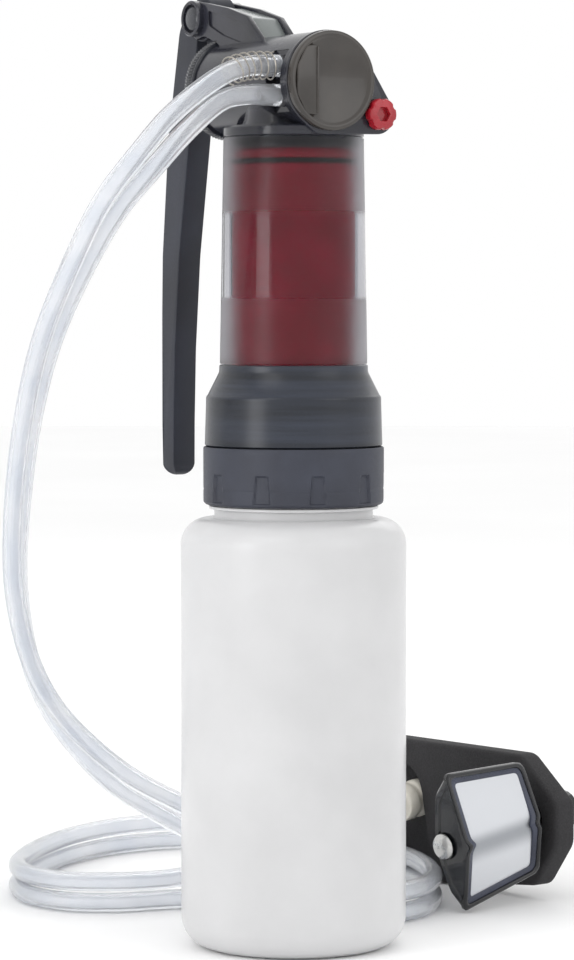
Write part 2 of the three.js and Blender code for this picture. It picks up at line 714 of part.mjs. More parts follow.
// The manifold lies behind the float. One spout carries the axle, one the hose inlet.
function strainerManifold() {
  const front = 62.5;
  const back = 70.5;
  const spout = (y, from) => turnedAlongX(rod(5.4, from, front + 1), y, 0);
  const outline = hullOf([...circle(0, 0, 8, 20), ...circle(INLET_Y, 0, 8, 20)]);
  const channel = hullOf([...circle(0, 0, 4.5, 16), ...circle(INLET_Y, 0, 4.5, 16)]);
  return cut(
    unite(lengthways(outline, front, back), spout(0, 46.2), spout(INLET_Y, 57.6)),
    lengthways(channel, front + 2, back - 2),
    turnedAlongX(rod(2.7, 45, front + 3), 0, 0),
    turnedAlongX(rod(2.2, 56, front + 3), INLET_Y, 0));
}

function strainerBarb() {
  const bore = 1.5;
  return turnedAlongX([
    [bore, 34], [BARB_RADIUS - 0.3, 34], [3, 37.4], [BARB_RADIUS, 37.4], [3, 40],
    [BARB_RADIUS, 40], [BARB_RADIUS, 43.4], [8.2, 43.4], [9, 44.2], [9, 48.6], [7.6, 49.6],
    [7.6, 51], [9, 52], [9, 56.4], [8.2, 57.2], [bore, 57.2],
  ], INLET_Y, 0, 24);
}

// The foam float stands square to the floor. It is drawn in the unpitched axle frame,
// with heights from the floor.
function strainerFloat() {
  const outline = [
    [7, 61.7], [-16.5, 43], [-16.5, 25], [-3, 6.5], [18, 4.5], [50, 0.8], [99, 0.8], [102, 4],
    [102, 56], [97, 61.7],
  ];
  const axleRise = Math.tan(AXLE_PITCH);
  const middle = (FLOAT_FRONT + FLOAT_BACK) / 2;
  const axleZ = AXLE_HEAD.z + middle * axleRise;
  const slab = lengthways(outline, FLOAT_FRONT, FLOAT_BACK);
  const bayDepth = 9;
  const bay = hullOf([...circle(INLET_Y + 6, axleZ + 1, 17, 28), [60, -2], [104, -2]]);
  return cut(slab,
    lengthways(bay, FLOAT_FRONT - 1, FLOAT_FRONT + bayDepth),
    turnedAlongX(rod(11, FLOAT_FRONT - 1, FLOAT_BACK + 1), INLET_Y, axleZ + 0.6, 24),
    turnedAlongX(rod(7.5, FLOAT_FRONT - 1, FLOAT_BACK + 1), 0, axleZ, 24));
}

// ---------------------------------------------------------------- hoses

const headFrame = new THREE.Matrix4().makeRotationZ(HEAD_TURN)
  .multiply(new THREE.Matrix4().makeTranslation(0, HEAD_OFFSET, 0));
const axleFrame = new THREE.Matrix4().makeTranslation(AXLE_HEAD)
  .multiply(new THREE.Matrix4().makeRotationZ(AXLE_YAW))
  .multiply(new THREE.Matrix4().makeRotationY(-AXLE_PITCH));

const fromHead = (x, y, z) => new THREE.Vector3(x, y, z).applyMatrix4(headFrame);
const fromAxle = (x, y, z) => new THREE.Vector3(x, y, z).applyMatrix4(axleFrame);

// The twin hoses run side by side. Each row is the middle of the pair, then how far the
// intake hose has turned round it: 0 outside the bend, 90 in front, 180 inside it.
const FALLING_PAIR = [
  [-43, -45, 323, 15],
  [-56, -48, 308, 25],
  [-69, -46, 292, 40],
  [-81, -40, 271, 55],
  [-95, -28, 240, 66],
  [-104, -12, 207, 72],
  [-110, 8, 166, 78],
  [-111, 22, 139, 84],
  [-107, 36, 111, 96],
  [-99, 46, 90, 112],
  [-86, 54, 72, 130],
  [-69, 60, 56, 150],
  [-49, 63, 44, 168],
  [-27, 61, 33, 180],
  [-6, 56, 22, 180],
];

// On the floor the intake hose lies on the purge hose.
const FLOOR_PAIR = [
  [13, 51, 12.5],
  [29, 46.5, 9],
  [43, 49.5, 8.6],
  [52, 60, 8.6],
  [57, 75, 8.6],
  [59, 93, 8.6],
  [58, 112, 8.6],
  [54, 132, 8.6],
  [47, 153, 8.6],
  [36, 184, 8.6],
  [20, 214, 8.6],
  [-4, 239, 8.6],
  [-31, 252, 8.6],
  [-58, 251, 8.6],
  [-81, 236, 8.6],
  [-98, 211, 8.6],
  [-109, 182, 8.6],
  [-116, 151, 8.6],
  [-118, 120, 8.6],
  [-111, 94, 8.6],
  [-94, 77, 8.6],
  [-73, 75, 8.6],
  [-52, 83, 8.6],
];

const VIEW_SIDE = new THREE.Vector3(0, -1, 0);

function pairPoint(middle, side, share) {
  return middle.clone().addScaledVector(side, share * HOSE_SPACING / 2);
}

// The stretch that both hoses share, as points for one of them: +1 intake, -1 purge.
function sharedStretch(share) {
  const rows = [...FALLING_PAIR, ...FLOOR_PAIR];
  const middles = rows.map(([x, y, z]) => new THREE.Vector3(x, y, z));
  return middles.map((middle, n) => {
    if (n >= FALLING_PAIR.length) return pairPoint(middle, new THREE.Vector3(0, 0, 1), share);
    const before = middles[Math.max(n - 1, 0)];
    const along = middles[n + 1].clone().sub(before).normalize();
    const outward = new THREE.Vector3().crossVectors(along, VIEW_SIDE).normalize();
    const front = new THREE.Vector3().crossVectors(outward, along).normalize();
    const turn = THREE.MathUtils.degToRad(rows[n][3]);
    const side = outward.multiplyScalar(Math.cos(turn)).addScaledVector(front, Math.sin(turn));
    return pairPoint(middle, side, share);
  });
}

const HOSE_START = BARB_TIP + GAP;

function intakeRoute(start) {
  return [
    fromHead(BARB_X, start, INTAKE_Z),
    fromHead(BARB_X, 31, INTAKE_Z - 0.6),
    fromHead(BARB_X - 1, 43, 340.5),
    ...sharedStretch(1),
    new THREE.Vector3(-30, 100, 14.5),
    new THREE.Vector3(-8, 118, 18.6),
    fromAxle(-3, INLET_Y, -1.6),
    fromAxle(18, INLET_Y, -0.2),
    fromAxle(34 - GAP, INLET_Y, 0),
  ];
}

function purgeRoute() {
  return [
    fromHead(BARB_X, HOSE_START, PURGE_Z),
    fromHead(BARB_X, 31, PURGE_Z - 0.2),
    fromHead(BARB_X - 1, 42.5, 331.2),
    ...sharedStretch(-1),
    new THREE.Vector3(-31, 84, 4.3),
    new THREE.Vector3(-8, 86, 4.3),
  ];
}

const HOSE_STEPS = 64;

function hose(route) {
  return tubeAlong(route, HOSE_RADIUS, HOSE_SIDES, HOSE_STEPS);
}

// The guard's coils follow the first stretch of the intake hose.
function hoseSpring() {
  const coils = 6;
  const stepsPerCoil = 10;
  const coilRadius = 5.3;
  const from = 18.6;
  const to = 40;
  const middle = new THREE.CatmullRomCurve3(intakeRoute(from), false, 'centripetal');
  const fraction = (to - from) / middle.getLength();
  const steps = coils * stepsPerCoil;
  const up = new THREE.Vector3(0, 0, 1);
  const points = Array.from({ length: steps + 1 }, (_, n) => {
    const at = fraction * n / steps;
    const along = middle.getTangentAt(at);
    const side = new THREE.Vector3().crossVectors(along, up).normalize();
    const over = new THREE.Vector3().crossVectors(side, along);
    const angle = TURN * n / stepsPerCoil;
    return middle.getPointAt(at)
      .addScaledVector(side, coilRadius * Math.cos(angle))
      .addScaledVector(over, coilRadius * Math.sin(angle));
  });
  return tubeAlong(points, 0.35, 4, steps);
}

// ---------------------------------------------------------------- materials and assembly

const smokyPlastic = { color: 0x4a4a4c, roughness: 0.25, metalness: 0 };
const bluePlastic = { color: 0x3b4152, roughness: 0.45, metalness: 0 };
const darkPlastic = { color: 0x3b3d47, roughness: 0.55, metalness: 0 };
const coverPlastic = { color: 0x5a5650, roughness: 0.2, metalness: 0 };
const redPlastic = { color: 0x7a2530, roughness: 0.4, metalness: 0 };
const brightRed = { color: 0xb8202f, roughness: 0.3, metalness: 0 };
const whitePlastic = { color: 0xdedad0, roughness: 0.4, metalness: 0 };
const bottlePlastic = { color: 0xe2e2e2, roughness: 0.5, metalness: 0 };
const blackRubber = { color: 0x151515, roughness: 0.7, metalness: 0 };
const clearHose = { color: 0xd5dde6, roughness: 0.15, metalness: 0 };
const steel = { color: 0xb9b9b9, roughness: 0.3, metalness: 1 };
const meshCloth = { color: 0xd8dade, roughness: 0.5, metalness: 0 };
const foam = { color: 0x3a393b, roughness: 0.9, metalness: 0 };

function piece(name, body, finish) {
  const mesh = new THREE.Mesh(geometryOf(body), new THREE.MeshStandardMaterial(finish));
  mesh.name = name;
  return mesh;
}

function bottleGroup() {
  const group = new THREE.Group();
  group.add(
    piece('bottle', bottle(), bottlePlastic),
    piece('bottle_gasket', bottleGasket(), blackRubber),
    piece('bottle_ring', bottleRing(), darkPlastic));
  return group;
}

function housingGroup() {
  const group = new THREE.Group();
  group.add(
    piece('outlet_base', outletBase(), bluePlastic),
    piece('cartridge_housing', cartridgeHousing(), smokyPlastic),
    piece('housing_seal_lower', lowerHousingSeal(), blackRubber),
    piece('housing_seal_upper', upperHousingSeal(), blackRubber),
    piece('cartridge_shell', cartridgeShell(), redPlastic),
    piece('cartridge_top_cap', cartridgeTopCap(), redPlastic),
    piece('cartridge_seal_top', cartridgeSeal(), blackRubber),
    piece('cartridge_bottom_cap', cartridgeBottomCap(), redPlastic),
    piece('cartridge_seal_bottom', cartridgeBottomSeal(), blackRubber),
    piece('fibre_bundle', fibreBundle(), whitePlastic));
  return group;
}

function headGroup() {
  const group = new THREE.Group();
  group.applyMatrix4(headFrame);
  group.add(
    piece('head_body', headBody(), smokyPlastic),
    piece('rear_nut', rearNut(), darkPlastic),
    piece('piston', piston(), whitePlastic),
    piece('piston_seal', pistonSeal(), blackRubber),
    piece('piston_rod', pistonRod(), darkPlastic),
    piece('rod_pin', rodPin(), steel),
    piece('lever', lever(), darkPlastic),
    piece('pivot_pin', pivotPin(), steel),
    piece('pivot_clip', pivotClip(), steel),
    piece('valve_cover', valveCover(), coverPlastic),
    piece('cover_seal', coverSeal(), blackRubber),
    piece('valve_block', valveBlock(), whitePlastic),
    piece('inlet_valve', valveDisc(BARREL_Z + VALVE_LIFT, VALVE_CHAMBER_END - 3), blackRubber),
    piece('outlet_valve', valveDisc(BARREL_Z - VALVE_LIFT, -23.7), blackRubber),
    piece('relief_knob', reliefKnob(), brightRed),
    piece('relief_seal', reliefSeal(), blackRubber),
    piece('relief_spring', reliefSpring(), steel),
    piece('relief_plunger', reliefPlunger(), whitePlastic),
    piece('intake_barb', barb(INTAKE_Z), smokyPlastic),
    piece('purge_barb', barb(PURGE_Z), smokyPlastic));
  return group;
}

function prefilterGroup() {
  const group = new THREE.Group();
  group.applyMatrix4(axleFrame);
  group.add(
    piece('strainer_frame', strainerFrame(), darkPlastic),
    ...Object.entries(PANELS).map(([name, corner]) =>
      piece(`mesh_${name.toLowerCase()}`, strainerMesh(corner), meshCloth)),
    piece('strainer_axle', strainerAxle(), steel),
    piece('strainer_bush', strainerBush(), whitePlastic),
    piece('strainer_manifold', strainerManifold(), darkPlastic),
    piece('strainer_barb', strainerBarb(), whitePlastic));
  return group;
}

function floatGroup() {
  const group = new THREE.Group();
  group.position.set(AXLE_HEAD.x, AXLE_HEAD.y, 0);
  group.rotation.z = AXLE_YAW;
  group.add(piece('strainer_float', strainerFloat(), foam));
  return group;
}

function hoseGroup() {
  const group = new THREE.Group();
  group.add(
    piece('intake_hose', hose(intakeRoute(HOSE_START)), clearHose),
    piece('purge_hose', hose(purgeRoute()), clearHose),
    piece('hose_spring', hoseSpring(), steel));
  return group;
}

const pumpFilter = new THREE.Group();
pumpFilter.name = 'pump_water_filter';
pumpFilter.add(
  bottleGroup(), housingGroup(), headGroup(), prefilterGroup(), floatGroup(), hoseGroup());

export default pumpFilter;
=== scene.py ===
import json
import math

import bmesh
import bpy
from mathutils import Matrix, Vector


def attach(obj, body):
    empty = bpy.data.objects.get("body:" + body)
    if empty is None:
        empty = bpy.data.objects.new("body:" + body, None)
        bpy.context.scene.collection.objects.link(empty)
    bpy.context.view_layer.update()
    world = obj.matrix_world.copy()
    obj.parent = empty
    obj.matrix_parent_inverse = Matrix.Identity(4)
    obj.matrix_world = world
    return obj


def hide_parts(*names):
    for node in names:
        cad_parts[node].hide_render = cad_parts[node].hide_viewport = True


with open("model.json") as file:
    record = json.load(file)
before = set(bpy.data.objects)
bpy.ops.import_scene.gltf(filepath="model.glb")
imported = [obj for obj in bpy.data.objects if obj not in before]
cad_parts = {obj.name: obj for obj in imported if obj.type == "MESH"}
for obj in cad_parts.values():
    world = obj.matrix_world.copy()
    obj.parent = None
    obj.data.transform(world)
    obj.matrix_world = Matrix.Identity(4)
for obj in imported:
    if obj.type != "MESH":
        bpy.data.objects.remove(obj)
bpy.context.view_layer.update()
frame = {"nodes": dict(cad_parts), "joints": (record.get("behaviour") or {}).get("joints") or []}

# Shapes are drawn in millimetres and become metres in piece(). They are drawn in four
# frames: the object's own, the pump barrel's (X to the lever, Y to the hoses), the
# prefilter axle's (X away from the domed head, Y away from the mesh face) and the
# float's, which is the axle's without its pitch, with Z from the floor.

MM = 0.001
TURN = 2 * math.pi
UP = Vector((0, 0, 1))
JOINTS = {joint["name"]: joint for joint in frame["joints"]}


# ---------------- frames and sizes

def frame_matrix(along, origin):
    """A frame with X along a direction, Y level and Z as near up as it can be."""
    x = Vector(along).normalized()
    y = UP.cross(x).normalized()
    return Matrix.Translation(origin) @ Matrix((x, y, x.cross(y))).transposed().to_4x4()


def barrel_frame():
    along = Vector(JOINTS["piston_slide"]["axis"])
    side = UP.cross(along).normalized()
    return frame_matrix(along, side * side.dot(Vector(JOINTS["lever_swing"]["pos_m"])))


WORLD = Matrix.Identity(4)
BARREL = barrel_frame()
AXLE = frame_matrix(JOINTS["strainer_swivel"]["axis"], JOINTS["strainer_swivel"]["pos_m"])
FLOAT = frame_matrix((AXLE[0][0], AXLE[1][0], 0), (AXLE[0][3], AXLE[1][3], 0))


def span(node, axis, place=WORLD):
    """Where a node starts and ends along one axis of a frame, in millimetres."""
    inverse = place.inverted()
    values = [(inverse @ v.co)[axis] / MM for v in frame["nodes"][node].data.vertices]
    return min(values), max(values)


def centre(node, axis, place=WORLD):
    return sum(span(node, axis, place)) / 2


def joint_point(name, place):
    return place.inverted() @ Vector(JOINTS[name]["pos_m"]) / MM


BOTTLE_RADIUS = span("bottle", 0)[1]
NECK_TOP = span("bottle", 2)[1]
NECK_RADIUS = 31.3
RING_BOTTOM, RING_TOP = span("bottle_ring", 2)
RING_RADIUS = span("bottle_ring", 1)[1]
BASE_TOP = span("outlet_base", 2)[1]
HOUSING_TOP = span("cartridge_housing", 2)[1]
HOUSING_BORE = 25.4
HOUSING_RADII = (29, 27.6)
CARTRIDGE_RADIUS = span("cartridge_shell", 0)[1]
SHELL_BOTTOM, SHELL_TOP = span("cartridge_shell", 2)
CARTRIDGE_BOTTOM = span("cartridge_bottom_cap", 2)[0]
CARTRIDGE_TOP = span("cartridge_top_cap", 2)[1]

BARREL_Z = centre("piston", 2, BARREL)
BARREL_RADIUS = 19.2
BARREL_REAR = span("rear_nut", 0, BARREL)[0] + 5.5
BARREL_FRONT = -27
BORE_RADIUS = 16.2
FRONT_BORE = 13.2               # of the valve chamber
RELIEF_BORE = 4.4
PIVOT_BORE = 2.9
ROD_PIN_BORE = 2.3
NUT_BACK = span("rear_nut", 0, BARREL)[1]
NUT_RADIUS = 20.5
FLANGE_FRONT = span("head_body", 0, BARREL)[0]
COVER_FRONT = span("valve_cover", 0, BARREL)[0]
PIVOT = joint_point("lever_swing", BARREL)
RELIEF = joint_point("relief_knob_turn", BARREL)
ROD_PIN = (centre("rod_pin", 0, BARREL), centre("rod_pin", 2, BARREL))
KNOB_FRONT = span("relief_knob", 0, BARREL)[0]
BARB_X = centre("intake_barb", 0, BARREL)
INTAKE_Z = centre("intake_barb", 2, BARREL)
PURGE_Z = centre("purge_barb", 2, BARREL)
BARB_FLANGE = 14.8
BARB_TIP = span("intake_barb", 1, BARREL)[1]

STRAINER_LENGTH = span("strainer_frame", 0, AXLE)[1]
INLET_Y = centre("strainer_barb", 1, AXLE)
FLOAT_FRONT, FLOAT_BACK = span("strainer_float", 0, FLOAT)
HOSE_RADIUS = 4
HOSE_BORE = 2.5
HOSE_SPACING = 8.6


# ---------------- outlines

def arc(cx, cy, size, start, end, steps):
    """Points of an arc, angles in degrees."""
    angles = [math.radians(start + (end - start) * n / steps) for n in range(steps + 1)]
    return [(cx + size * math.cos(a), cy + size * math.sin(a)) for a in angles]


def circle(cx, cy, size, steps=48):
    return arc(cx, cy, size, 0, 360, steps)[:-1]


def rounded(points, size, steps=4):
    """The closed outline with its corners rounded, as far as their edges allow."""
    result = []
    for n, point in enumerate(points):
        here = Vector(point)
        back = Vector(points[n - 1]) - here
        ahead = Vector(points[(n + 1) % len(points)]) - here
        reach = min(size, back.length * 0.45, ahead.length * 0.45)
        start = here + back.normalized() * reach
        end = here + ahead.normalized() * reach
        for k in range(steps + 1):
            t = k / steps
            result.append(tuple(start * (1 - t) ** 2 + here * 2 * t * (1 - t) + end * t ** 2))
    return result


def hull_outline(points):
    """The convex outline round flat points, anticlockwise."""
    def chain(ordered):
        line = []
        for p in ordered:
            while len(line) > 1:
                (ax, ay), (bx, by) = line[-2], line[-1]
                if (bx - ax) * (p[1] - ay) - (by - ay) * (p[0] - ax) > 0:
                    break
                line.pop()
            line.append(p)
        return line
    ordered = sorted(set(points))
    return chain(ordered)[:-1] + chain(ordered[::-1])[:-1]


def rod(size, start, end, edge=0.0):
    """The profile of a plain round bar, its rims broken by a small edge."""
    return [(0, start), (size - edge, start), (size, start + edge),
            (size, end - edge), (size - edge, end), (0, end)]


def sleeve(inner, outer, start, end, edge=0.3):
    return [(inner, start), (outer - edge, start), (outer, start + edge),
            (outer, end - edge), (outer - edge, end), (inner, end)]


# ---------------- solids

AXES = {
    "z": lambda r, h, c, s: (r * c, r * s, h),
    "x": lambda r, h, c, s: (h, r * c, r * s),
    "y": lambda r, h, c, s: (r * s, h, r * c),
}


def turned(profile, axis="z", middle=(0, 0, 0), segments=96):
    """A solid turned round an axis from (radius, height) points. It closes on itself off the
    axis. A radius can be a function of the angle."""
    bm = bmesh.new()
    place = AXES[axis]
    shift = Vector(middle)
    angles = [TURN * n / segments for n in range(segments)]
    rings = []
    for size, height in profile:
        if size == 0:
            rings.append([bm.verts.new(Vector(place(0, height, 1, 0)) + shift)])
            continue
        radii = [size(a) if callable(size) else size for a in angles]
        rings.append([bm.verts.new(Vector(place(r, height, math.cos(a), math.sin(a))) + shift)
                      for r, a in zip(radii, angles)])
    pairs = list(zip(rings, rings[1:]))
    if len(rings[0]) > 1:
        pairs.append((rings[-1], rings[0]))
    for one, two in pairs:
        for n in range(segments):
            corners = [one[n % len(one)], one[(n + 1) % len(one)],
                       two[(n + 1) % len(two)], two[n % len(two)]]
            distinct = list(dict.fromkeys(corners))
            if len(distinct) > 2:
                bm.faces.new(distinct)
    bmesh.ops.recalc_face_normals(bm, faces=bm.faces)
    return bm


def prism(outline, start, end, across="y"):
    """A flat outline made thick: across Y it lies in X and Z, across X in Y and Z."""
    def point(a, b, depth):
        return (a, depth, b) if across == "y" else (depth, a, b)
    bm = bmesh.new()
    near = [bm.verts.new(point(a, b, start)) for a, b in outline]
    far = [bm.verts.new(point(a, b, end)) for a, b in outline]
    bm.faces.new(near)
    bm.faces.new(far[::-1])
    for n in range(len(outline)):
        after = (n + 1) % len(outline)
        bm.faces.new((near[n], far[n], far[after], near[after]))
    bmesh.ops.recalc_face_normals(bm, faces=bm.faces)
    return bm


def soften(bm, width, segments=3, angle=40):
    """Rounds the sharp edges of a solid."""
    sharp = [e for e in bm.edges if e.is_manifold and e.calc_face_angle() > math.radians(angle)]
    bmesh.ops.bevel(bm, geom=sharp, offset=width, segments=segments, profile=0.5,
                    affect="EDGES", clamp_overlap=True)
    return bm


def scratch_object(bm):
    mesh = bpy.data.meshes.new("scratch")
    bm.to_mesh(mesh)
    bm.free()
    made = bpy.data.objects.new("scratch", mesh)
    bpy.context.scene.collection.objects.link(made)
    return made


def join(*meshes):
    """Several solids in one mesh."""
    whole = bmesh.new()
    for bm in meshes:
        made = scratch_object(bm)
        whole.from_mesh(made.data)
        bpy.data.meshes.remove(made.data)
    return whole


def combined(operation, body, *tools):
    """One solid with others cut from it or made one with it."""
    target = scratch_object(body)
    others = [scratch_object(tool) for tool in tools]
    for other in others:
        change = target.modifiers.new("change", "BOOLEAN")
        change.operation = operation
        change.solver = "EXACT"
        change.object = other
    graph = bpy.context.evaluated_depsgraph_get()
    result = bmesh.new()
    result.from_mesh(target.evaluated_get(graph).to_mesh())
    for used in (target, *others):
        bpy.data.meshes.remove(used.data)
    return result


def cut(body, *tools):
    return combined("DIFFERENCE", body, *tools)


def unite(body, *others):
    return combined("UNION", body, *others)


# ---------------- paths and tubes

def smooth_path(points, spacing):
    """A centripetal Catmull-Rom curve through the points, sampled about every spacing."""
    points = [Vector(p) for p in points]
    ends = [points[0] * 2 - points[1], *points, points[-1] * 2 - points[-2]]
    path = []
    for n in range(len(points) - 1):
        p = ends[n:n + 4]
        k = [0.0]
        for one, two in zip(p, p[1:]):
            k.append(k[-1] + (two - one).length ** 0.5)
        count = max(2, round((p[2] - p[1]).length / spacing))
        for m in range(count):
            t = k[1] + (k[2] - k[1]) * m / count
            a = [p[i] * (k[i + 1] - t) / (k[i + 1] - k[i])
                 + p[i + 1] * (t - k[i]) / (k[i + 1] - k[i]) for i in range(3)]
            b = [a[i] * (k[i + 2] - t) / (k[i + 2] - k[i])
                 + a[i + 1] * (t - k[i]) / (k[i + 2] - k[i]) for i in range(2)]
            path.append(b[0] * (k[2] - t) / (k[2] - k[1]) + b[1] * (t - k[1]) / (k[2] - k[1]))
    return [*path, points[-1]]


def frames_along(path):
    """A frame that doesn't twist at each point of a path: (point, side, over)."""
    result = []
    side = UP
    for n, point in enumerate(path):
        along = (path[min(n + 1, len(path) - 1)] - path[max(n - 1, 0)]).normalized()
        side = (side - along * side.dot(along)).normalized()
        result.append((point, side, along.cross(side)))
    return result


def swept(path, size, sides=12, bore=None):
    """A tube along a path. Its size can be a function of the share of the way along. With a
    bore it is hollow and open at its ends."""
    bm = bmesh.new()
    frames = frames_along(path)
    last = len(path) - 1

    def ring(n, wide):
        point, side, over = frames[n]
        return [bm.verts.new(point + (side * math.cos(TURN * k / sides)
                                      + over * math.sin(TURN * k / sides)) * wide)
                for k in range(sides)]

    def skin(rings):
        for one, two in zip(rings, rings[1:]):
            for k in range(sides):
                after = (k + 1) % sides
                bm.faces.new((one[k], one[after], two[after], two[k]))

    outer = [ring(n, size(n / last) if callable(size) else size) for n in range(len(path))]
    skin(outer)
    if bore is None:
        bm.faces.new(outer[0])
        bm.faces.new(outer[-1])
    else:
        inner = [ring(n, bore) for n in range(len(path))]
        skin(inner)
        skin([outer[0], inner[0]])
        skin([outer[-1], inner[-1]])
    bmesh.ops.recalc_face_normals(bm, faces=bm.faces)
    return bm


# ---------------- materials

def linear(hexcode):
    """A colour written as on screen, as the shader's light values."""
    values = [int(hexcode[n:n + 2], 16) / 255 for n in (0, 2, 4)]
    return tuple(v / 12.92 if v <= 0.04045 else ((v + 0.055) / 1.055) ** 2.4 for v in values)


SHADER_SOCKETS = {
    "coat": "Coat Weight", "ior": "IOR", "metallic": "Metallic", "specular": "Specular IOR Level",
    "subsurface": "Subsurface Weight", "subsurface_radius": "Subsurface Radius",
    "subsurface_scale": "Subsurface Scale", "transmission": "Transmission Weight",
}


class Surface:
    """A material whose colour and roughness wander, with a fine grain over them. Roughness is
    a range, or None where the material sets its own."""

    def __init__(self, name, roughness, patch=60, grain=3000, bump=0.08, stretch=(1, 1, 1),
                 **constants):
        self.material = bpy.data.materials.new(name)
        self.material.use_nodes = True
        self.nodes = self.material.node_tree.nodes
        self.shader = self.nodes["Principled BSDF"]
        self.place = self.add("ShaderNodeTexCoord").outputs["Object"]
        scale = self.add("ShaderNodeMapping")
        scale.inputs["Scale"].default_value = stretch
        self.link(self.place, scale.inputs["Vector"])
        self.broad = self.noise(scale.outputs["Vector"], patch)
        self.fine = self.noise(scale.outputs["Vector"], grain)
        if roughness:
            self.link(self.mapped(self.fine, (0.3, 0.7), roughness),
                      self.shader.inputs["Roughness"])
        self.relief = self.add("ShaderNodeBump")
        self.relief.inputs["Strength"].default_value = bump
        self.relief.inputs["Distance"].default_value = 0.0003
        self.link(self.fine, self.relief.inputs["Height"])
        self.link(self.relief.outputs["Normal"], self.shader.inputs["Normal"])
        for word, value in constants.items():
            self.shader.inputs[SHADER_SOCKETS[word]].default_value = value

    def add(self, kind):
        return self.nodes.new(kind)

    def link(self, output, socket):
        self.material.node_tree.links.new(output, socket)

    def noise(self, place, scale):
        made = self.add("ShaderNodeTexNoise")
        made.inputs["Scale"].default_value = scale
        made.inputs["Detail"].default_value = 5
        self.link(place, made.inputs["Vector"])
        return made.outputs["Fac"]

    def mapped(self, value, source, target):
        made = self.add("ShaderNodeMapRange")
        made.interpolation_type = "SMOOTHSTEP"
        for socket, number in zip(("From Min", "From Max", "To Min", "To Max"), (*source, *target)):
            made.inputs[socket].default_value = number
        self.link(value, made.inputs["Value"])
        return made.outputs["Result"]

    def operate(self, operation, one, two):
        made = self.add("ShaderNodeMath")
        made.operation = operation
        self.link(one, made.inputs[0])
        self.link(two, made.inputs[1])
        return made.outputs["Value"]

    def axis(self, name):
        made = self.add("ShaderNodeSeparateXYZ")
        self.link(self.place, made.inputs["Vector"])
        return made.outputs[name]

    def ramp(self, value, *stops):
        """Colours by share: each stop is (share, colour)."""
        made = self.add("ShaderNodeValToRGB")
        elements = made.color_ramp.elements
        while len(elements) < len(stops):
            elements.new(0.5)
        for element, (share, colour) in zip(elements, stops):
            element.position = share
            element.color = (*linear(colour), 1)
        self.link(value, made.inputs["Fac"])
        return made.outputs["Color"]

    def coloured(self, dark, light):
        self.link(self.ramp(self.broad, (0.3, dark), (0.7, light)),
                  self.shader.inputs["Base Color"])
        return self.material


def bottle_plastic():
    return Surface("milky_plastic", (0.3, 0.42), patch=25, grain=900, bump=0.03,
                   coat=0.25, subsurface=0.6, subsurface_radius=(1, 1, 1),
                   subsurface_scale=0.004).coloured("c9c9ca", "d2d2d3")


def ring_plastic():
    return Surface("ring_plastic", (0.42, 0.58), grain=2500,
                   specular=0.35).coloured("32343d", "3b3e49")


def base_plastic():
    """Dark blue-grey, with level streaks inside it."""
    return Surface("base_plastic", (0.24, 0.36), patch=10, stretch=(1, 1, 26), bump=0.02,
                   specular=0.45).coloured("12151b", "2d323e")


def housing_plastic():
    """Smoky clear plastic, frosted but for a polished band."""
    band_bottom, band_top = 0.258, 0.286
    polished, frosted = 0.03, 0.36
    surface = Surface("housing_plastic", None, patch=30, bump=0.01, transmission=1.0, ior=1.3)
    height = surface.axis("Z")
    frosted_below = surface.mapped(height, (band_bottom - 0.004, band_bottom), (1, 0))
    frosted_above = surface.mapped(height, (band_top, band_top + 0.006), (0, 1))
    frost = surface.operate("ADD", frosted_below, frosted_above)
    rough = surface.mapped(frost, (0, 1), (polished, frosted))
    surface.link(rough, surface.shader.inputs["Roughness"])
    return surface.coloured("b2b2b7", "bebec4")


def head_plastic():
    return Surface("head_plastic", (0.14, 0.24), patch=45, bump=0.02, transmission=0.3,
                   specular=0.5).coloured("24252c", "363741")


def glow_painted_web():
    """The thin web between the arms is painted lighter than the rest of the head, as painted light
    shining through it.
    """
    return Surface("glow_painted_web", (0.2, 0.3), patch=45, bump=0.02).coloured("6f7473", "868b8a")


def barb_plastic():
    return Surface("barb_plastic", (0.25, 0.35), bump=0.02).coloured("4b4b4e", "5a5a5d")


def cartridge_plastic():
    return Surface("cartridge_plastic", (0.3, 0.42), patch=70, bump=0.04,
                   coat=0.25, specular=0.2).coloured("c0082e", "d8123c")


def lever_plastic():
    return Surface("lever_plastic", (0.45, 0.6), patch=35, grain=2800, bump=0.06,
                   specular=0.4).coloured("23252d", "2d303b")


def nut_plastic():
    return Surface("nut_plastic", (0.2, 0.3), patch=50, bump=0.02,
                   coat=0.3).coloured("1c1e24", "2a2c34")


def cover_plastic():
    return Surface("cover_plastic", (0.16, 0.26), patch=50, bump=0.02,
                   coat=0.25).coloured("2e2a27", "3d3833")


def knob_plastic():
    return Surface("knob_plastic", (0.25, 0.36), patch=90, bump=0.04,
                   coat=0.3).coloured("94101f", "b01828")


def white_plastic():
    return Surface("white_plastic", (0.3, 0.44), patch=80, bump=0.04).coloured("d8d3c6", "e8e4d9")


def black_rubber():
    return Surface("black_rubber", (0.6, 0.8), patch=90, bump=0.1).coloured("121212", "1e1e1f")


def steel():
    return Surface("steel", (0.2, 0.28), patch=90, grain=5000, bump=0.02,
                   metallic=1.0).coloured("c0c0be", "cfcfcd")


def spring_steel():
    return Surface("spring_steel", (0.28, 0.4), patch=300, bump=0.04,
                   metallic=1.0).coloured("8f8a82", "b5b0a8")


def strainer_plastic():
    return Surface("strainer_plastic", (0.14, 0.24), patch=60, bump=0.02,
                   coat=0.3).coloured("0c0d10", "15171b")


def strainer_border():
    return Surface("strainer_border", (0.25, 0.35), patch=60, bump=0.02).coloured("2c303f", "3d4254")


def clear_hose():
    return Surface("clear_hose", (0.16, 0.22), patch=60, bump=0.0, transmission=0.8,
                   ior=1.25).coloured("f1f4f9", "fcfdff")


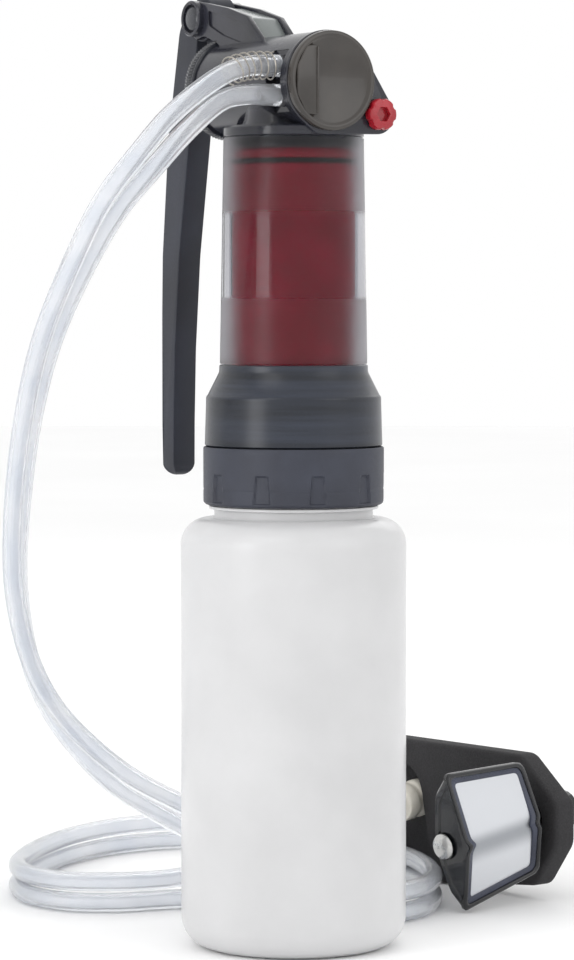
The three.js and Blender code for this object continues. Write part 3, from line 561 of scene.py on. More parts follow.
def fibres():
    """Hollow fibres that stand on end in the cartridge."""
    return Surface("fibres", (0.6, 0.8), patch=900, grain=1800, stretch=(1, 1, 0.02),
                   bump=0.4).coloured("cfc9ba", "f0ecdf")


def mesh_cloth():
    """Fine woven threads, drawn from the panel's own map in millimetres. The map's V runs from
    the fold between the two front panels, where the threads are painted darker as shade of the bend."""
    surface = Surface("mesh_cloth", (0.3, 0.42), patch=60, metallic=0.35)
    uv = surface.add("ShaderNodeUVMap").outputs["UV"]
    threads_per_mm = 3
    waves = []
    for direction in ("X", "Y"):
        wave = surface.add("ShaderNodeTexWave")
        wave.bands_direction = direction
        wave.inputs["Scale"].default_value = threads_per_mm * math.pi / 10
        surface.link(uv, wave.inputs["Vector"])
        waves.append(wave.outputs["Fac"])
    weave = surface.operate("MAXIMUM", *waves)
    surface.link(weave, surface.relief.inputs["Height"])
    from_fold = surface.add("ShaderNodeSeparateXYZ")
    surface.link(uv, from_fold.inputs["Vector"])
    # Painted shade: a darker band along the fold, widest below it, in place of the bend's own
    # shading.
    above = surface.mapped(from_fold.outputs["Y"], (-1, 5), (0, 1))
    below = surface.mapped(from_fold.outputs["Y"], (-10, -2), (1, 0))
    painted_light_share = surface.operate("MAXIMUM", above, below)
    painted_shade_threads = surface.ramp(weave, (0.2, "898c91"), (0.8, "a2a5aa"))
    painted_lit_threads = surface.ramp(weave, (0.2, "bfc2c7"), (0.8, "d9dbdf"))
    blend = surface.add("ShaderNodeMixRGB")
    surface.link(painted_light_share, blend.inputs["Fac"])
    surface.link(painted_shade_threads, blend.inputs["Color1"])
    surface.link(painted_lit_threads, blend.inputs["Color2"])
    surface.link(blend.outputs["Color"], surface.shader.inputs["Base Color"])
    return surface.material


def foam():
    """Closed-cell foam: small round cells and a dry, speckled skin."""
    surface = Surface("foam", (0.75, 0.92), patch=30, grain=1400, bump=0.3)
    cells = surface.add("ShaderNodeTexVoronoi")
    cells.inputs["Scale"].default_value = 1700
    surface.link(surface.place, cells.inputs["Vector"])
    surface.link(cells.outputs["Distance"], surface.relief.inputs["Height"])
    return surface.coloured("232224", "2e2d2f")


MATERIALS = {
    "bottle": bottle_plastic(), "ring": ring_plastic(), "base": base_plastic(),
    "housing": housing_plastic(), "head": head_plastic(), "nut": nut_plastic(),
    "cartridge": cartridge_plastic(), "lever": lever_plastic(), "cover": cover_plastic(),
    "knob": knob_plastic(), "white_parts": white_plastic(), "seal": black_rubber(),
    "steel": steel(), "strainer": strainer_plastic(), "mesh": mesh_cloth(),
    "foam": foam(), "hose": clear_hose(), "fibre": fibres(),
}
SPRING_STEEL = spring_steel()
STRAINER_BORDER = strainer_border()
BARB_PLASTIC = barb_plastic()
GLOW_PAINTED_WEB = glow_painted_web()


def piece(name, body, slot, bm, place=WORLD, replaces=(), material=None, smooth=35):
    """A finished piece in its place, on the body that it moves with."""
    bm.transform(place @ Matrix.Scale(MM, 4))
    mesh = bpy.data.meshes.new(name)
    bm.to_mesh(mesh)
    bm.free()
    mesh.polygons.foreach_set("use_smooth", [True] * len(mesh.polygons))
    mesh.set_sharp_from_angle(angle=math.radians(smooth))
    mesh.materials.append(material or MATERIALS[slot])
    made = bpy.data.objects.new(name, mesh)
    bpy.context.scene.collection.objects.link(made)
    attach(made, body)
    if replaces:
        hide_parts(*replaces)
    return made


# ---------------- bottle and its ring

def bottle():
    wall = 1.8
    corner = 12
    shoulder_from, shoulder_to = 159, 169.6
    shoulder = shoulder_to - shoulder_from
    corner_at = BOTTLE_RADIUS - corner
    shoulder_at = BOTTLE_RADIUS - shoulder
    mouth = NECK_RADIUS - 2
    bead = ((NECK_RADIUS, 172.9), (33.4, 173.2), (33.4, 174.2), (NECK_RADIUS, 174.5))
    profile = [
        (0, 0.8), (corner_at - 4, 0.8), (corner_at - 1, 0.1),
        *arc(corner_at, corner, corner, -90, 0, 14),
        *arc(shoulder_at, shoulder_from, shoulder, 0, 90, 14),
        (NECK_RADIUS + 0.3, shoulder_to), (NECK_RADIUS, shoulder_to + 0.4), *bead,
        (NECK_RADIUS, NECK_TOP - 0.5), (NECK_RADIUS - 0.5, NECK_TOP),
        (mouth + 0.5, NECK_TOP), (mouth, NECK_TOP - 0.5), (mouth, shoulder_to),
        *arc(shoulder_at, shoulder_from, shoulder - wall, 90, 0, 10),
        *arc(corner_at, corner, corner - wall, 0, -90, 10), (0, 2.4),
    ]
    piece("bottle_shell", "bottle", "bottle", turned(profile, segments=144), replaces=["bottle"])


def step(value, start, end):
    share = min(max((value - start) / (end - start), 0), 1)
    return share * share * (3 - 2 * share)


def bottle_ring():
    """A row of pockets in the lower half, each narrower at its top."""
    pockets = 10
    first_pocket = math.radians(-110.5)
    depth = 0.9
    floor, ceiling = 176.2, 187
    half_width = (3.4, 2.4)
    edge = 0.35
    bore = NECK_RADIUS + 0.6
    line_at = 181
    heights = sorted({*(RING_BOTTOM + 1.4 + 0.35 * n for n in range(36)), 190, 195,
                      RING_TOP - 0.5})

    def wall(height):
        up = (height - floor) / (ceiling - floor)
        half = half_width[0] + (half_width[1] - half_width[0]) * up
        tall = step(height, floor - edge, floor + edge) * (
            1 - step(height, ceiling - edge, ceiling + edge))
        line = 0.15 * (1 - step(abs(height - line_at), 0.1, 0.5))

        def radius(angle):
            nearest = ((angle - first_pocket) / TURN * pockets + 0.5) % 1 - 0.5
            across = abs(nearest) * TURN / pockets * RING_RADIUS
            inside = 1 - step(across, half - edge, half + edge)
            return RING_RADIUS - depth * tall * inside - line * (1 - tall * inside)
        return radius

    profile = [(bore, RING_BOTTOM), (RING_RADIUS - 1.6, RING_BOTTOM),
               (RING_RADIUS - 0.9, RING_BOTTOM + 0.3), (RING_RADIUS - 0.3, RING_BOTTOM + 0.9),
               *((wall(height), height) for height in heights),
               (RING_RADIUS - 0.35, RING_TOP), (bore, RING_TOP)]
    piece("neck_ring", "bottle", "ring", turned(profile, segments=432), replaces=["bottle_ring"])


# ---------------- cartridge housing

def outlet_base():
    outlet = 4
    socket = 27.8
    under = NECK_TOP + 2.3
    skirt = RING_TOP + 0.3
    profile = [
        (outlet, under), (NECK_RADIUS, under), (NECK_RADIUS, skirt), (34.4, skirt),
        (35, skirt + 0.5), (34.95, skirt + 2), (34.5, 215),
        *arc(32.6, 216.4, 1.9, 0, 50, 8), (29.5, 226.5), (29.3, 227.4), (29.25, BASE_TOP - 0.4),
        (28.9, BASE_TOP), (socket, BASE_TOP), (socket, 218.9), (25.2, 218.9), (25.2, 203),
        (outlet, 203),
    ]
    piece("outlet_bowl", "pump", "base", turned(profile, segments=128), replaces=["outlet_base"])


def cartridge_housing():
    spigot = 27.5
    foot = BASE_TOP + 0.3
    wide, narrow = HOUSING_RADII
    profile = [
        (HOUSING_BORE, 219.2), (spigot, 219.2), (spigot, 222), (26.2, 222), (26.2, 224),
        (spigot, 224), (spigot, foot), (wide - 0.3, foot), (wide, foot + 0.4),
        (wide - 0.02, foot + 3), (narrow + 0.02, HOUSING_TOP - 3), (narrow, HOUSING_TOP - 0.4),
        (narrow - 0.3, HOUSING_TOP), (HOUSING_BORE, HOUSING_TOP),
    ]
    piece("housing_tube", "pump", "housing", turned(profile, segments=128),
          replaces=["cartridge_housing"])


def cartridge():
    wall = 1.2
    plug = CARTRIDGE_RADIUS - wall - 0.3
    plug_length = 5.5
    port = 3
    shell = sleeve(CARTRIDGE_RADIUS - wall, CARTRIDGE_RADIUS, SHELL_BOTTOM, SHELL_TOP, 0.4)
    top_cap = [
        (port, SHELL_TOP - plug_length), (plug, SHELL_TOP - plug_length), (plug, SHELL_TOP + 2.3),
        (CARTRIDGE_RADIUS, SHELL_TOP + 2.3), (CARTRIDGE_RADIUS - 0.2, SHELL_TOP + 3),
        (CARTRIDGE_RADIUS - 0.8, CARTRIDGE_TOP - 0.4), (CARTRIDGE_RADIUS - 1.2, CARTRIDGE_TOP),
        (port, CARTRIDGE_TOP),
    ]
    bottom_cap = [
        (port, CARTRIDGE_BOTTOM), (CARTRIDGE_RADIUS - 0.6, CARTRIDGE_BOTTOM),
        (CARTRIDGE_RADIUS, 204), (CARTRIDGE_RADIUS, 205), (23.4, 205), (23.4, 207),
        (CARTRIDGE_RADIUS, 207), (CARTRIDGE_RADIUS, SHELL_BOTTOM - 0.3),
        (plug, SHELL_BOTTOM - 0.3), (plug, SHELL_BOTTOM + plug_length),
        (port, SHELL_BOTTOM + plug_length),
    ]
    piece("cartridge_tube", "pump", "cartridge", turned(shell), replaces=["cartridge_shell"])
    piece("cartridge_cap", "pump", "cartridge", turned(top_cap), replaces=["cartridge_top_cap"])
    piece("cartridge_foot", "pump", "cartridge", turned(bottom_cap),
          replaces=["cartridge_bottom_cap"])


# ---------------- pump head

ARM_INSIDE = 6.2
ARM_OUTSIDE = 8.8
BOSS_OUTSIDE = 11.4
BOSS_RADIUS = 7.2


def along_barrel(profile, y=0.0, z=BARREL_Z, segments=96):
    return turned(profile, "x", (0, y, z), segments)


def on_pivot(profile, segments=64):
    return turned(profile, "y", (PIVOT.x, 0, PIVOT.z), segments)


def front_flange():
    lobes = [*circle(0, BARREL_Z, 19.6, 96), *circle(RELIEF.y, RELIEF.z, 7.6),
             *circle(4, 323.4, 4.4, 32)]
    return soften(prism(hull_outline(lobes), FLANGE_FRONT, FLANGE_FRONT + 2.2, "x"), 0.5)


def relief_boss():
    outline = hull_outline([*circle(RELIEF.y, RELIEF.z, 6.7), *circle(-8, 336, 9)])
    return soften(prism(outline, FLANGE_FRONT + 1.7, -12, "x"), 0.8)


def head_barrel():
    """The barrel, the disc that closes the housing, and the saddle between them."""
    disc_bottom = HOUSING_TOP + 0.3
    disc_top = 323
    disc = HOUSING_RADII[1]
    bottle_axis = (BARREL.inverted() @ Vector((0, 0, 0))) / MM
    barrel = along_barrel([
        (0, BARREL_FRONT), (BARREL_RADIUS, BARREL_FRONT), (BARREL_RADIUS, BARREL_REAR - 0.5),
        (BARREL_RADIUS - 0.5, BARREL_REAR), (0, BARREL_REAR)], segments=128)
    plate = turned([(0, disc_bottom), (disc - 0.4, disc_bottom), (disc, disc_bottom + 0.4),
                    (disc, disc_top - 0.8), (disc - 0.8, disc_top), (0, disc_top)],
                   "z", (bottle_axis.x, bottle_axis.y, 0), 128)
    spigot = turned([(22, 314.5), (25.1, 314.5), (25.1, 315.5), (23.8, 315.5), (23.8, 317.3),
                     (25.1, 317.3), (25.1, disc_bottom + 1), (22, disc_bottom + 1)],
                    "z", (bottle_axis.x, bottle_axis.y, 0))
    saddle = turned([(0, disc_top - 1), (20, disc_top - 1), (19.2, disc_top + 0.3),
                     (18.1, 325.6), (17.5, 328.5), (16.8, 336), (0, 336)])
    whole = unite(barrel, plate, spigot, saddle, relief_boss())
    recess = prism([(-23.2, 327.5), (-12.6, 327.5), (-12.6, 351.5), (-23.2, 351.5)],
                   BARB_FLANGE - 0.3, 26)
    feed_x = -18
    hollow = cut(
        whole, along_barrel(rod(BORE_RADIUS, -12, BARREL_REAR + 1)),
        along_barrel(rod(FRONT_BORE, FLANGE_FRONT - 1, -15)),
        along_barrel(rod(RELIEF_BORE, FLANGE_FRONT - 1, -15.5), RELIEF.y, RELIEF.z, 32),
        turned(rod(3, 313, 328), "z", (feed_x, 0, 0), 24), recess)
    piece("head_barrel", "pump", "head", hollow, BARREL, replaces=["head_body"])
    flange = cut(front_flange(), along_barrel(rod(FRONT_BORE, FLANGE_FRONT - 1, -20)),
                 along_barrel(rod(RELIEF_BORE, FLANGE_FRONT - 1, -20), RELIEF.y, RELIEF.z, 32))
    piece("front_flange", "pump", "head", flange, BARREL)


def pivot_arms():
    """Two arms that carry the lever's pivot, each with a cupped boss and a shallow recess, and
    a web between them."""
    cup_radius = 5.7
    cup_floor = 9.4
    recess_depth = 0.8
    boss = circle(PIVOT.x, PIVOT.z, BOSS_RADIUS)
    root = [(BARREL_REAR - 3, 350), (5, 350), (7, 356.5), (12.5, 361.5), (18.5, 367), (33, 371.2)]
    outline = hull_outline([*root, *boss])
    underside = rounded([(39.2, 330), (39.2, 357), (PIVOT.x - 7.2, 361.3), (PIVOT.x + 9, 358),
                         (75, 340), (75, 330)], 2)
    window = rounded([(15.5, 358), (20.5, 364), (34, 368.4), (PIVOT.x - 10.5, PIVOT.z + 2.5),
                      (PIVOT.x - 11, PIVOT.z - 3.5), (37, 360.5), (24, 357)], 0.8)
    for name, side in (("pivot_arm_left", 1), ("pivot_arm_right", -1)):
        inside, outside = sorted((side * ARM_INSIDE, side * ARM_OUTSIDE))
        recess = sorted((side * (ARM_OUTSIDE - recess_depth), side * (ARM_OUTSIDE + 1)))
        plate = soften(prism(outline, inside, outside), 0.5)
        cup = on_pivot([(0, side * ARM_INSIDE), (BOSS_RADIUS, side * ARM_INSIDE),
                        (BOSS_RADIUS, side * (BOSS_OUTSIDE - 0.5)),
                        (BOSS_RADIUS - 0.5, side * BOSS_OUTSIDE),
                        (cup_radius + 0.4, side * BOSS_OUTSIDE),
                        (cup_radius, side * (BOSS_OUTSIDE - 0.4)),
                        (cup_radius, side * cup_floor), (0, side * cup_floor)])
        arm = cut(unite(cut(plate, prism(underside, -12, 12)), cup),
                  along_barrel(rod(NUT_RADIUS + 0.6, BARREL_REAR, 54)),
                  on_pivot(rod(PIVOT_BORE, -14, 14), 32),
                  along_barrel(rod(BARREL_RADIUS - 0.7, -10, 90)), prism(window, *recess))
        piece(name, "pump", "head", arm, BARREL)
    # The web takes the lighter plastic: painted light that stands in for light shining through it.
    web = [(11, 357), (14, 357), (21, 364.2), (46, 370), (46, 372.4), (20, 366.6)]
    piece("arm_web", "pump", "head",
          soften(prism(rounded(web, 1.2), -ARM_INSIDE - 0.4, ARM_INSIDE + 0.4), 0.2), BARREL,
          material=GLOW_PAINTED_WEB)


def rear_nut():
    ribs = 96
    rib_depth = 0.8
    front = BARREL_REAR + 0.3

    def comb(angle):
        return NUT_RADIUS - rib_depth * step(math.cos(angle * ribs), -0.2, 0.5)

    profile = [
        (14.9, front - 5.8), (15.8, front - 5.8), (15.8, front), (NUT_RADIUS - 1, front),
        (NUT_RADIUS - 0.3, front + 0.3), (NUT_RADIUS - 0.3, front + 1), (comb, front + 1.2),
        (comb, NUT_BACK - 1), (NUT_RADIUS - 1.2, NUT_BACK), (15.6, NUT_BACK),
        (14.9, NUT_BACK - 0.7),
    ]
    piece("barrel_nut", "pump", "nut", along_barrel(profile, segments=768), BARREL,
          replaces=["rear_nut"])


def lever():
    """A rounded handle that narrows to a domed tip, with a hub and a crank lug at its top."""
    half = 5.2
    tip_z, tip = 187.5, 4.6
    blade = [
        (63.5, 357), (65.5, 345), (69.5, 321), (77.8, 273), (81.4, 235), (82.5, 205),
        *arc(87.1, tip_z, tip, 180, 350, 14), (91.9, 205), (91.9, 250), (91.4, 273),
        (86.6, 321), (77.4, 364), (74.5, 369), (70, 373.6), (60, 377),
    ]
    handle = soften(prism(rounded(blade, 1.6), -half, half), 2.6, 5)
    round_from = tip_z + 1.5
    for vert in handle.verts:
        below = min(max((round_from - vert.co.z) / (round_from - tip_z + tip), 0), 1)
        vert.co.y *= 0.2 + 0.8 * math.sqrt(1 - below ** 2)
    hub = on_pivot([(0, -5.8), (8.5, -5.8), (9, -5.3), (9, 5.3), (8.5, 5.8), (0, 5.8)])
    lug = hull_outline([*circle(PIVOT.x, PIVOT.z, 3.2), *circle(*ROD_PIN, 4.2)])
    whole = unite(handle, hub, soften(prism(lug, -3.4, 3.4), 0.4))
    bored = cut(whole, on_pivot(rod(PIVOT_BORE, -8, 8), 32),
                turned(rod(ROD_PIN_BORE, -8, 8), "y", (ROD_PIN[0], 0, ROD_PIN[1]), 32))
    piece("lever_handle", "lever", "lever", bored, BARREL, replaces=["lever"], smooth=30)


def pivot_pin():
    pin = [(0, -11), (2.3, -11), (2.6, -10.7), (2.6, 9.7), (4.6, 9.7), (4.8, 9.9), (4.8, 10.4),
           (4.2, 10.9), (3.2, 11.2), (0, 11.3)]
    piece("lever_pin", "pump", "nut", on_pivot(pin), BARREL, replaces=["pivot_pin"])


def valve_cover():
    front = COVER_FRONT
    recess = 0.9
    back = FLANGE_FRONT - 0.3
    wide, plug, groove = 19.3, 12.8, 12
    profile = [
        (0, front + recess), (16.1, front + recess), (16.6, front + recess - 0.25),
        (17.1, front + 0.15), (17.6, front), (18.5, front), (wide - 0.2, front + 0.3),
        (wide, front + 0.9), (wide, back - 0.3), (wide - 0.3, back), (plug, back),
        (plug, -27.9), (groove, -27.9), (groove, -26.5), (plug, -26.5), (plug, -25.6), (0, -25.6),
    ]
    pad = hull_outline([(7, 353), (7, 326), (12, 326.5), (16.2, 334), (16.2, 345), (12, 352.6)])
    raised = soften(prism(rounded(pad, 1.2, 6), front - 0.1, -30, "x"), 0.5)
    rib = soften(prism([(6.6, 326.6), (7.5, 326.6), (7.5, 352.4), (6.6, 352.4)],
                       front - 0.5, -30, "x"), 0.25)
    piece("valve_lid", "pump", "cover", join(along_barrel(profile, segments=128), raised, rib),
          BARREL, replaces=["valve_cover"])


def relief_knob():
    """A six-lobed cap with a hexagon socket."""
    lobes = 6
    wide = 6.2
    front, back = KNOB_FRONT, -28.5
    socket = 3.1
    socket_depth = 2.2

    def lobed(size):
        def radius(angle):
            valley = math.cos(angle * lobes) * 0.5 + 0.5
            return size - 0.55 * step(1 - valley, 0.6, 1)
        return radius

    def hexagon(size):
        side = TURN / 6
        return lambda angle: size * math.cos(side / 2) / math.cos(angle % side - side / 2)

    profile = [
        (0, front + socket_depth), (hexagon(socket), front + socket_depth),
        (hexagon(socket), front + 0.15), (hexagon(socket + 0.15), front), (lobed(5.3), front),
        (lobed(5.9), front + 0.25), (lobed(6.2), front + 0.8), (lobed(wide), back - 0.3),
        (lobed(wide - 0.3), back), (4.1, back), (4.1, -27.4), (3.1, -27.4), (3.1, -26),
        (4.1, -26), (4.1, -24.6), (0, -24.6),
    ]
    piece("relief_cap", "relief_knob", "knob",
          along_barrel(profile, RELIEF.y, RELIEF.z, 144), BARREL, replaces=["relief_knob"])


def barb(name, node, z):
    bore = 1.5
    nose = BARB_TIP
    profile = [
        (bore, 13.6), (2, 13.6), (2, BARB_FLANGE), (4.2, BARB_FLANGE), (4.4, BARB_FLANGE + 0.2),
        (4.4, BARB_FLANGE + 1.8), (4.2, BARB_FLANGE + 2), (2.4, BARB_FLANGE + 2.2), (2.4, nose),
        (bore, nose),
    ]
    piece(name, "pump", "head", turned(profile, "y", (BARB_X, 0, z), 48), BARREL,
          replaces=[node], material=BARB_PLASTIC)


# ---------------- prefilter

NEAR_SECTION = [
    (-4.8, 31.4), (-13.9, 0.7), (-7.5, -27.4), (-2.1, -22.4), (3.9, -5.8), (4.8, 5.4), (1.7, 24),
]
FAR_SECTION = [
    (-4.6, 27), (-13.9, 2), (-8.2, -20.6), (-2.6, -17), (3.9, -4.6), (4.8, 4.6), (1.4, 20.6),
]
RIDGE = 1                   # the corner where the two front panels meet
BACK_WINDOWS = {3: "mesh_back_lower", 5: "mesh_back_upper"}
STRAINER_WALL = 1.6
RIM = 2.3                   # round black rim, then a flat blue-grey border inside it
BORDER = 2.4


def section_point(corner, share):
    near, far = Vector((0, *NEAR_SECTION[corner])), Vector((STRAINER_LENGTH, *FAR_SECTION[corner]))
    return near.lerp(far, share)


def front_length(share, side):
    """How long the face is from its ridge to its upper (1) or lower (-1) edge."""
    return (section_point(RIDGE - side, share) - section_point(RIDGE, share)).length


def front_point(u, w, depth, soft=0.01):
    """A point of the bent front face: u along the axle, w up from the ridge, then inward.
    The bend is rounded over about soft."""
    share = u / STRAINER_LENGTH
    side = 1 if w >= 0 else -1
    ridge = section_point(RIDGE, share)
    direction = (section_point(RIDGE - side, share) - ridge) / front_length(share, side)
    rounded_w = math.sqrt(w * w + soft * soft) - soft
    return Vector((u, ridge.y + direction.y * rounded_w + depth,
                   ridge.z + direction.z * abs(w)))


def inset_outline(outline, distance):
    """The outline drawn in by a distance; it runs anticlockwise."""
    lines = []
    for n, point in enumerate(outline):
        here, after = Vector(point), Vector(outline[(n + 1) % len(outline)])
        along = (after - here).normalized()
        normal = Vector((-along.y, along.x))
        lines.append((normal, normal.dot(here) + distance))
    result = []
    for n in range(len(outline)):
        (a, c), (b, d) = lines[n - 1], lines[n]
        scale = a.x * b.y - a.y * b.x
        result.append(((c * b.y - d * a.y) / scale, (d * a.x - c * b.x) / scale))
    return result


def front_ring(distance, depth, notch=0.0):
    """A loop of points on the front face, drawn in from its edge. The ridge's ends carry a
    small notch that points inward."""
    far = STRAINER_LENGTH
    outline = inset_outline([(0, -front_length(0, -1)), (far, -front_length(1, -1)),
                             (far, front_length(1, 1)), (0, front_length(0, 1))], distance)
    low_near, low_far, high_far, high_near = outline
    notch_half = 2.8
    loop = [low_near, low_far, (low_far[0], -notch_half), (low_far[0] - notch, 0),
            (high_far[0], notch_half), high_far, high_near, (high_near[0], notch_half),
            (high_near[0] + notch, 0), (low_near[0], -notch_half)]
    return [front_point(u, w, depth) for u, w in rounded(loop, 4 - distance * 0.45, 5)]


def band(*rings):
    """A closed band through loops of points."""
    bm = bmesh.new()
    loops = [[bm.verts.new(point) for point in ring] for ring in rings]
    for one, two in zip(loops, [*loops[1:], loops[0]]):
        for n in range(len(one)):
            after = (n + 1) % len(one)
            bm.faces.new((one[n], one[after], two[after], two[n]))
    bmesh.ops.recalc_face_normals(bm, faces=bm.faces)
    return bm


def strainer_rim():
    notch = 2.2
    section = [(0.1, 1.6), (0.0, 0.2), (0.25, -0.45), (0.7, -0.8), (1.2, -0.9), (1.7, -0.75),
               (2.1, -0.35), (RIM, 0.3), (RIM, 1.6)]
    piece("strainer_rim", "strainer", "strainer",
          band(*(front_ring(across, depth, notch) for across, depth in section)), AXLE, smooth=50)
    inner = RIM + BORDER
    flat = [(RIM - 0.2, 0.35), (inner - 0.3, 0.55), (inner, 0.85), (inner, 1.6),
            (RIM - 0.2, 1.6)]
    piece("strainer_border", "strainer", "strainer",
          band(*(front_ring(across, depth, notch) for across, depth in flat)), AXLE,
          material=STRAINER_BORDER, smooth=50)


def front_mesh():
    """The two front panels of mesh. They roll into one another along the ridge."""
    drawn_in = RIM + BORDER - 0.4
    soft = 6
    columns, rows = 24, 20
    sink = 1.3              # away from the ridge the rolled face stands proud of the flat one
    for name, side in (("mesh_front_upper", 1), ("mesh_front_lower", -1)):
        bm = bmesh.new()
        layer = bm.loops.layers.uv.new("threads")
        sheets = []
        for depth in (1.1, 1.5):
            grid = []
            for i in range(columns + 1):
                u = drawn_in + (STRAINER_LENGTH - 2 * drawn_in) * i / columns
                end = front_length(u / STRAINER_LENGTH, side) - drawn_in
                grid.append([bm.verts.new(front_point(u, side * max(end * j / rows, 1e-6),
                                                      depth + sink, soft))
                             for j in range(rows + 1)])
            sheets.append(grid)
        front, back = sheets
        for i in range(columns):
            for j in range(rows):
                for grid in sheets:
                    bm.faces.new((grid[i][j], grid[i + 1][j], grid[i + 1][j + 1], grid[i][j + 1]))
        rim = ([(i, 0) for i in range(columns)] + [(columns, j) for j in range(rows)]
               + [(i, rows) for i in range(columns, 0, -1)] + [(0, j) for j in range(rows, 0, -1)])
        for (i, j), (k, m) in zip(rim, [*rim[1:], rim[0]]):
            bm.faces.new((front[i][j], front[k][m], back[k][m], back[i][j]))
        bmesh.ops.recalc_face_normals(bm, faces=bm.faces)
        # The map's V runs from the fold, where the mesh cloth paints a darker band of shade.
        for face in bm.faces:
            for loop in face.loops:
                point = loop.vert.co
                fold = section_point(RIDGE, point.x / STRAINER_LENGTH)
                loop[layer].uv = (point.x, point.z - fold.z)
        piece(name + "_cloth", "strainer", "mesh", bm, AXLE, replaces=[name], smooth=60)


def strainer_box():
    """The walls and back of the strainer, with a window in each of its two back panels."""
    bm = bmesh.new()
    count = len(NEAR_SECTION)
    notch_room = Vector((-2.5, 1.2, 0))         # for the notch in the rim
    near = [bm.verts.new(section_point(n, 0)) for n in range(count)]
    far = [bm.verts.new(section_point(n, 1)) for n in range(count)]
    far[RIDGE].co += notch_room
    bm.faces.new(near)
    bm.faces.new(far[::-1])
    for n in range(2, count):
        after = (n + 1) % count
        side = bm.faces.new((near[n], far[n], far[after], near[after]))
        side.material_index = n if n in BACK_WINDOWS else 0
    bmesh.ops.recalc_face_normals(bm, faces=bm.faces)
    front_corners = [bm.edges.get((end[one], end[two])) for end in (near, far)
                     for one, two in ((0, count - 1), (2, 3))]
    bmesh.ops.bevel(bm, geom=front_corners, offset=2.6, segments=3, profile=0.5,
                    affect="EDGES")
    ends = [face for face in bm.faces if abs(face.normal.x) > 0.999]
    sides = [face for face in bm.faces if face.material_index in BACK_WINDOWS]
    names = [BACK_WINDOWS[face.material_index] for face in sides]
    bmesh.ops.inset_individual(bm, faces=ends, thickness=2)
    bmesh.ops.inset_individual(bm, faces=ends, thickness=0.6, depth=-0.7)
    bmesh.ops.inset_individual(bm, faces=sides, thickness=3.2)
    bmesh.ops.inset_individual(bm, faces=sides, thickness=0.4, depth=-0.5)
    for name, side in zip(names, sides):
        mesh_panel(name, [vert.co.copy() for vert in side.verts], side.normal.copy())
    bmesh.ops.delete(bm, geom=sides, context="FACES_ONLY")
    for face in bm.faces:
        face.material_index = 0
    made = piece("strainer_box", "strainer", "strainer", bm, AXLE, replaces=["strainer_frame"],
                 smooth=30)
    wall = made.modifiers.new("wall", "SOLIDIFY")
    wall.thickness = STRAINER_WALL * MM
    wall.offset = -1
    edges = made.modifiers.new("edges", "BEVEL")
    edges.width = 0.4 * MM
    edges.segments = 3
    edges.limit_method = "ANGLE"


def mesh_panel(name, corners, normal):
    """A flat panel of mesh that closes a back window, with its map in millimetres."""
    across = (corners[1] - corners[0]).normalized()
    up = normal.cross(across)
    bm = bmesh.new()
    layer = bm.loops.layers.uv.new("threads")
    front = [bm.verts.new(point - normal * 0.4) for point in corners]
    back = [bm.verts.new(point - normal * 0.9) for point in corners]
    bm.faces.new(front)
    bm.faces.new(back[::-1])
    for n in range(len(corners)):
        after = (n + 1) % len(corners)
        bm.faces.new((front[n], back[n], back[after], front[after]))
    bmesh.ops.recalc_face_normals(bm, faces=bm.faces)
    for face in bm.faces:
        for loop in face.loops:
            loop[layer].uv = (loop.vert.co.dot(across), loop.vert.co.dot(up))
    piece(name + "_cloth", "strainer", "mesh", bm, AXLE, replaces=[name])


def strainer_axle():
    """A domed head on a plain shaft."""
    shaft, shaft_end = 2.2, 58
    profile = [(0, -3.4), (1.4, -3.32), (2.8, -3.02), (4, -2.5), (5, -1.75), (5.5, -1),
               (5.7, -0.3), (shaft, -0.3), (shaft, shaft_end), (0, shaft_end)]
    piece("axle_pin", "pump", "steel", turned(profile, "x", segments=64), AXLE,
          replaces=["strainer_axle"])


def strainer_inlet():
    bore = 1.5
    collar = [
        (bore, 34), (2.3, 34), (2.4, 43.4), (7.1, 43.4), (7.9, 43.7), (8.3, 44.4), (8.3, 48.4),
        (8, 48.9), (7.4, 49.4), (7.1, 49.8), (7.1, 50.8), (7.4, 51.3), (8, 51.8), (8.3, 52.4),
        (8.3, 56.2), (7.8, 57), (7.4, 57.2), (bore, 57.2),
    ]
    piece("strainer_inlet", "pump", "white_parts", turned(collar, "x", (0, INLET_Y, 0), 64),
          AXLE, replaces=["strainer_barb"])


def strainer_float():
    """The foam float stands square to the floor, with a bay for the prefilter's far end."""
    outline = rounded([(7, 61.7), (-16.5, 43), (-16.5, 25), (-3, 6.5), (18, 4.5), (50, 0.8),
                       (99, 0.8), (102, 4), (102, 56), (97, 61.7)], 3, 5)
    axle_rise = AXLE[2][0] / math.hypot(AXLE[0][0], AXLE[1][0])
    axle_z = AXLE[2][3] / MM + (FLOAT_FRONT + FLOAT_BACK) / 2 * axle_rise
    bay_outline = hull_outline([*circle(INLET_Y + 6, axle_z + 1, 14.9, 64), (60, -2), (104, -2)])
    slab = soften(prism(outline, FLOAT_FRONT, FLOAT_BACK, "x"), 2.2, 5)
    bay_depth = 9
    holes = [turned(rod(size, FLOAT_FRONT - 1, FLOAT_BACK + 1), "x", (0, y, z), 48)
             for size, y, z in ((9.4, INLET_Y, axle_z + 0.6), (7.5, 0, axle_z))]
    bay = prism(bay_outline, FLOAT_FRONT - 1, FLOAT_FRONT + bay_depth, "x")
    made = piece("foam_float", "pump", "foam", cut(slab, bay, *holes), FLOAT,
                 replaces=["strainer_float"])


# ---------------- hoses

# The twin hoses run side by side. Each row is the middle of the pair in millimetres, then
# how far the intake hose has turned round it: 0 outside the bend, 90 in front, 180 inside.
FALLING_PAIR = [
    (-43, -45, 323, 15), (-56, -48, 308, 25), (-69, -46, 292, 40), (-81, -40, 271, 55),
    (-95, -28, 240, 66), (-104, -12, 207, 72), (-110, 8, 166, 78), (-111, 22, 139, 84),
    (-107, 36, 111, 96), (-99, 46, 90, 112), (-86, 54, 72, 130), (-69, 60, 56, 150),
    (-49, 63, 44, 168), (-27, 61, 33, 180), (-6, 56, 22, 180),
]

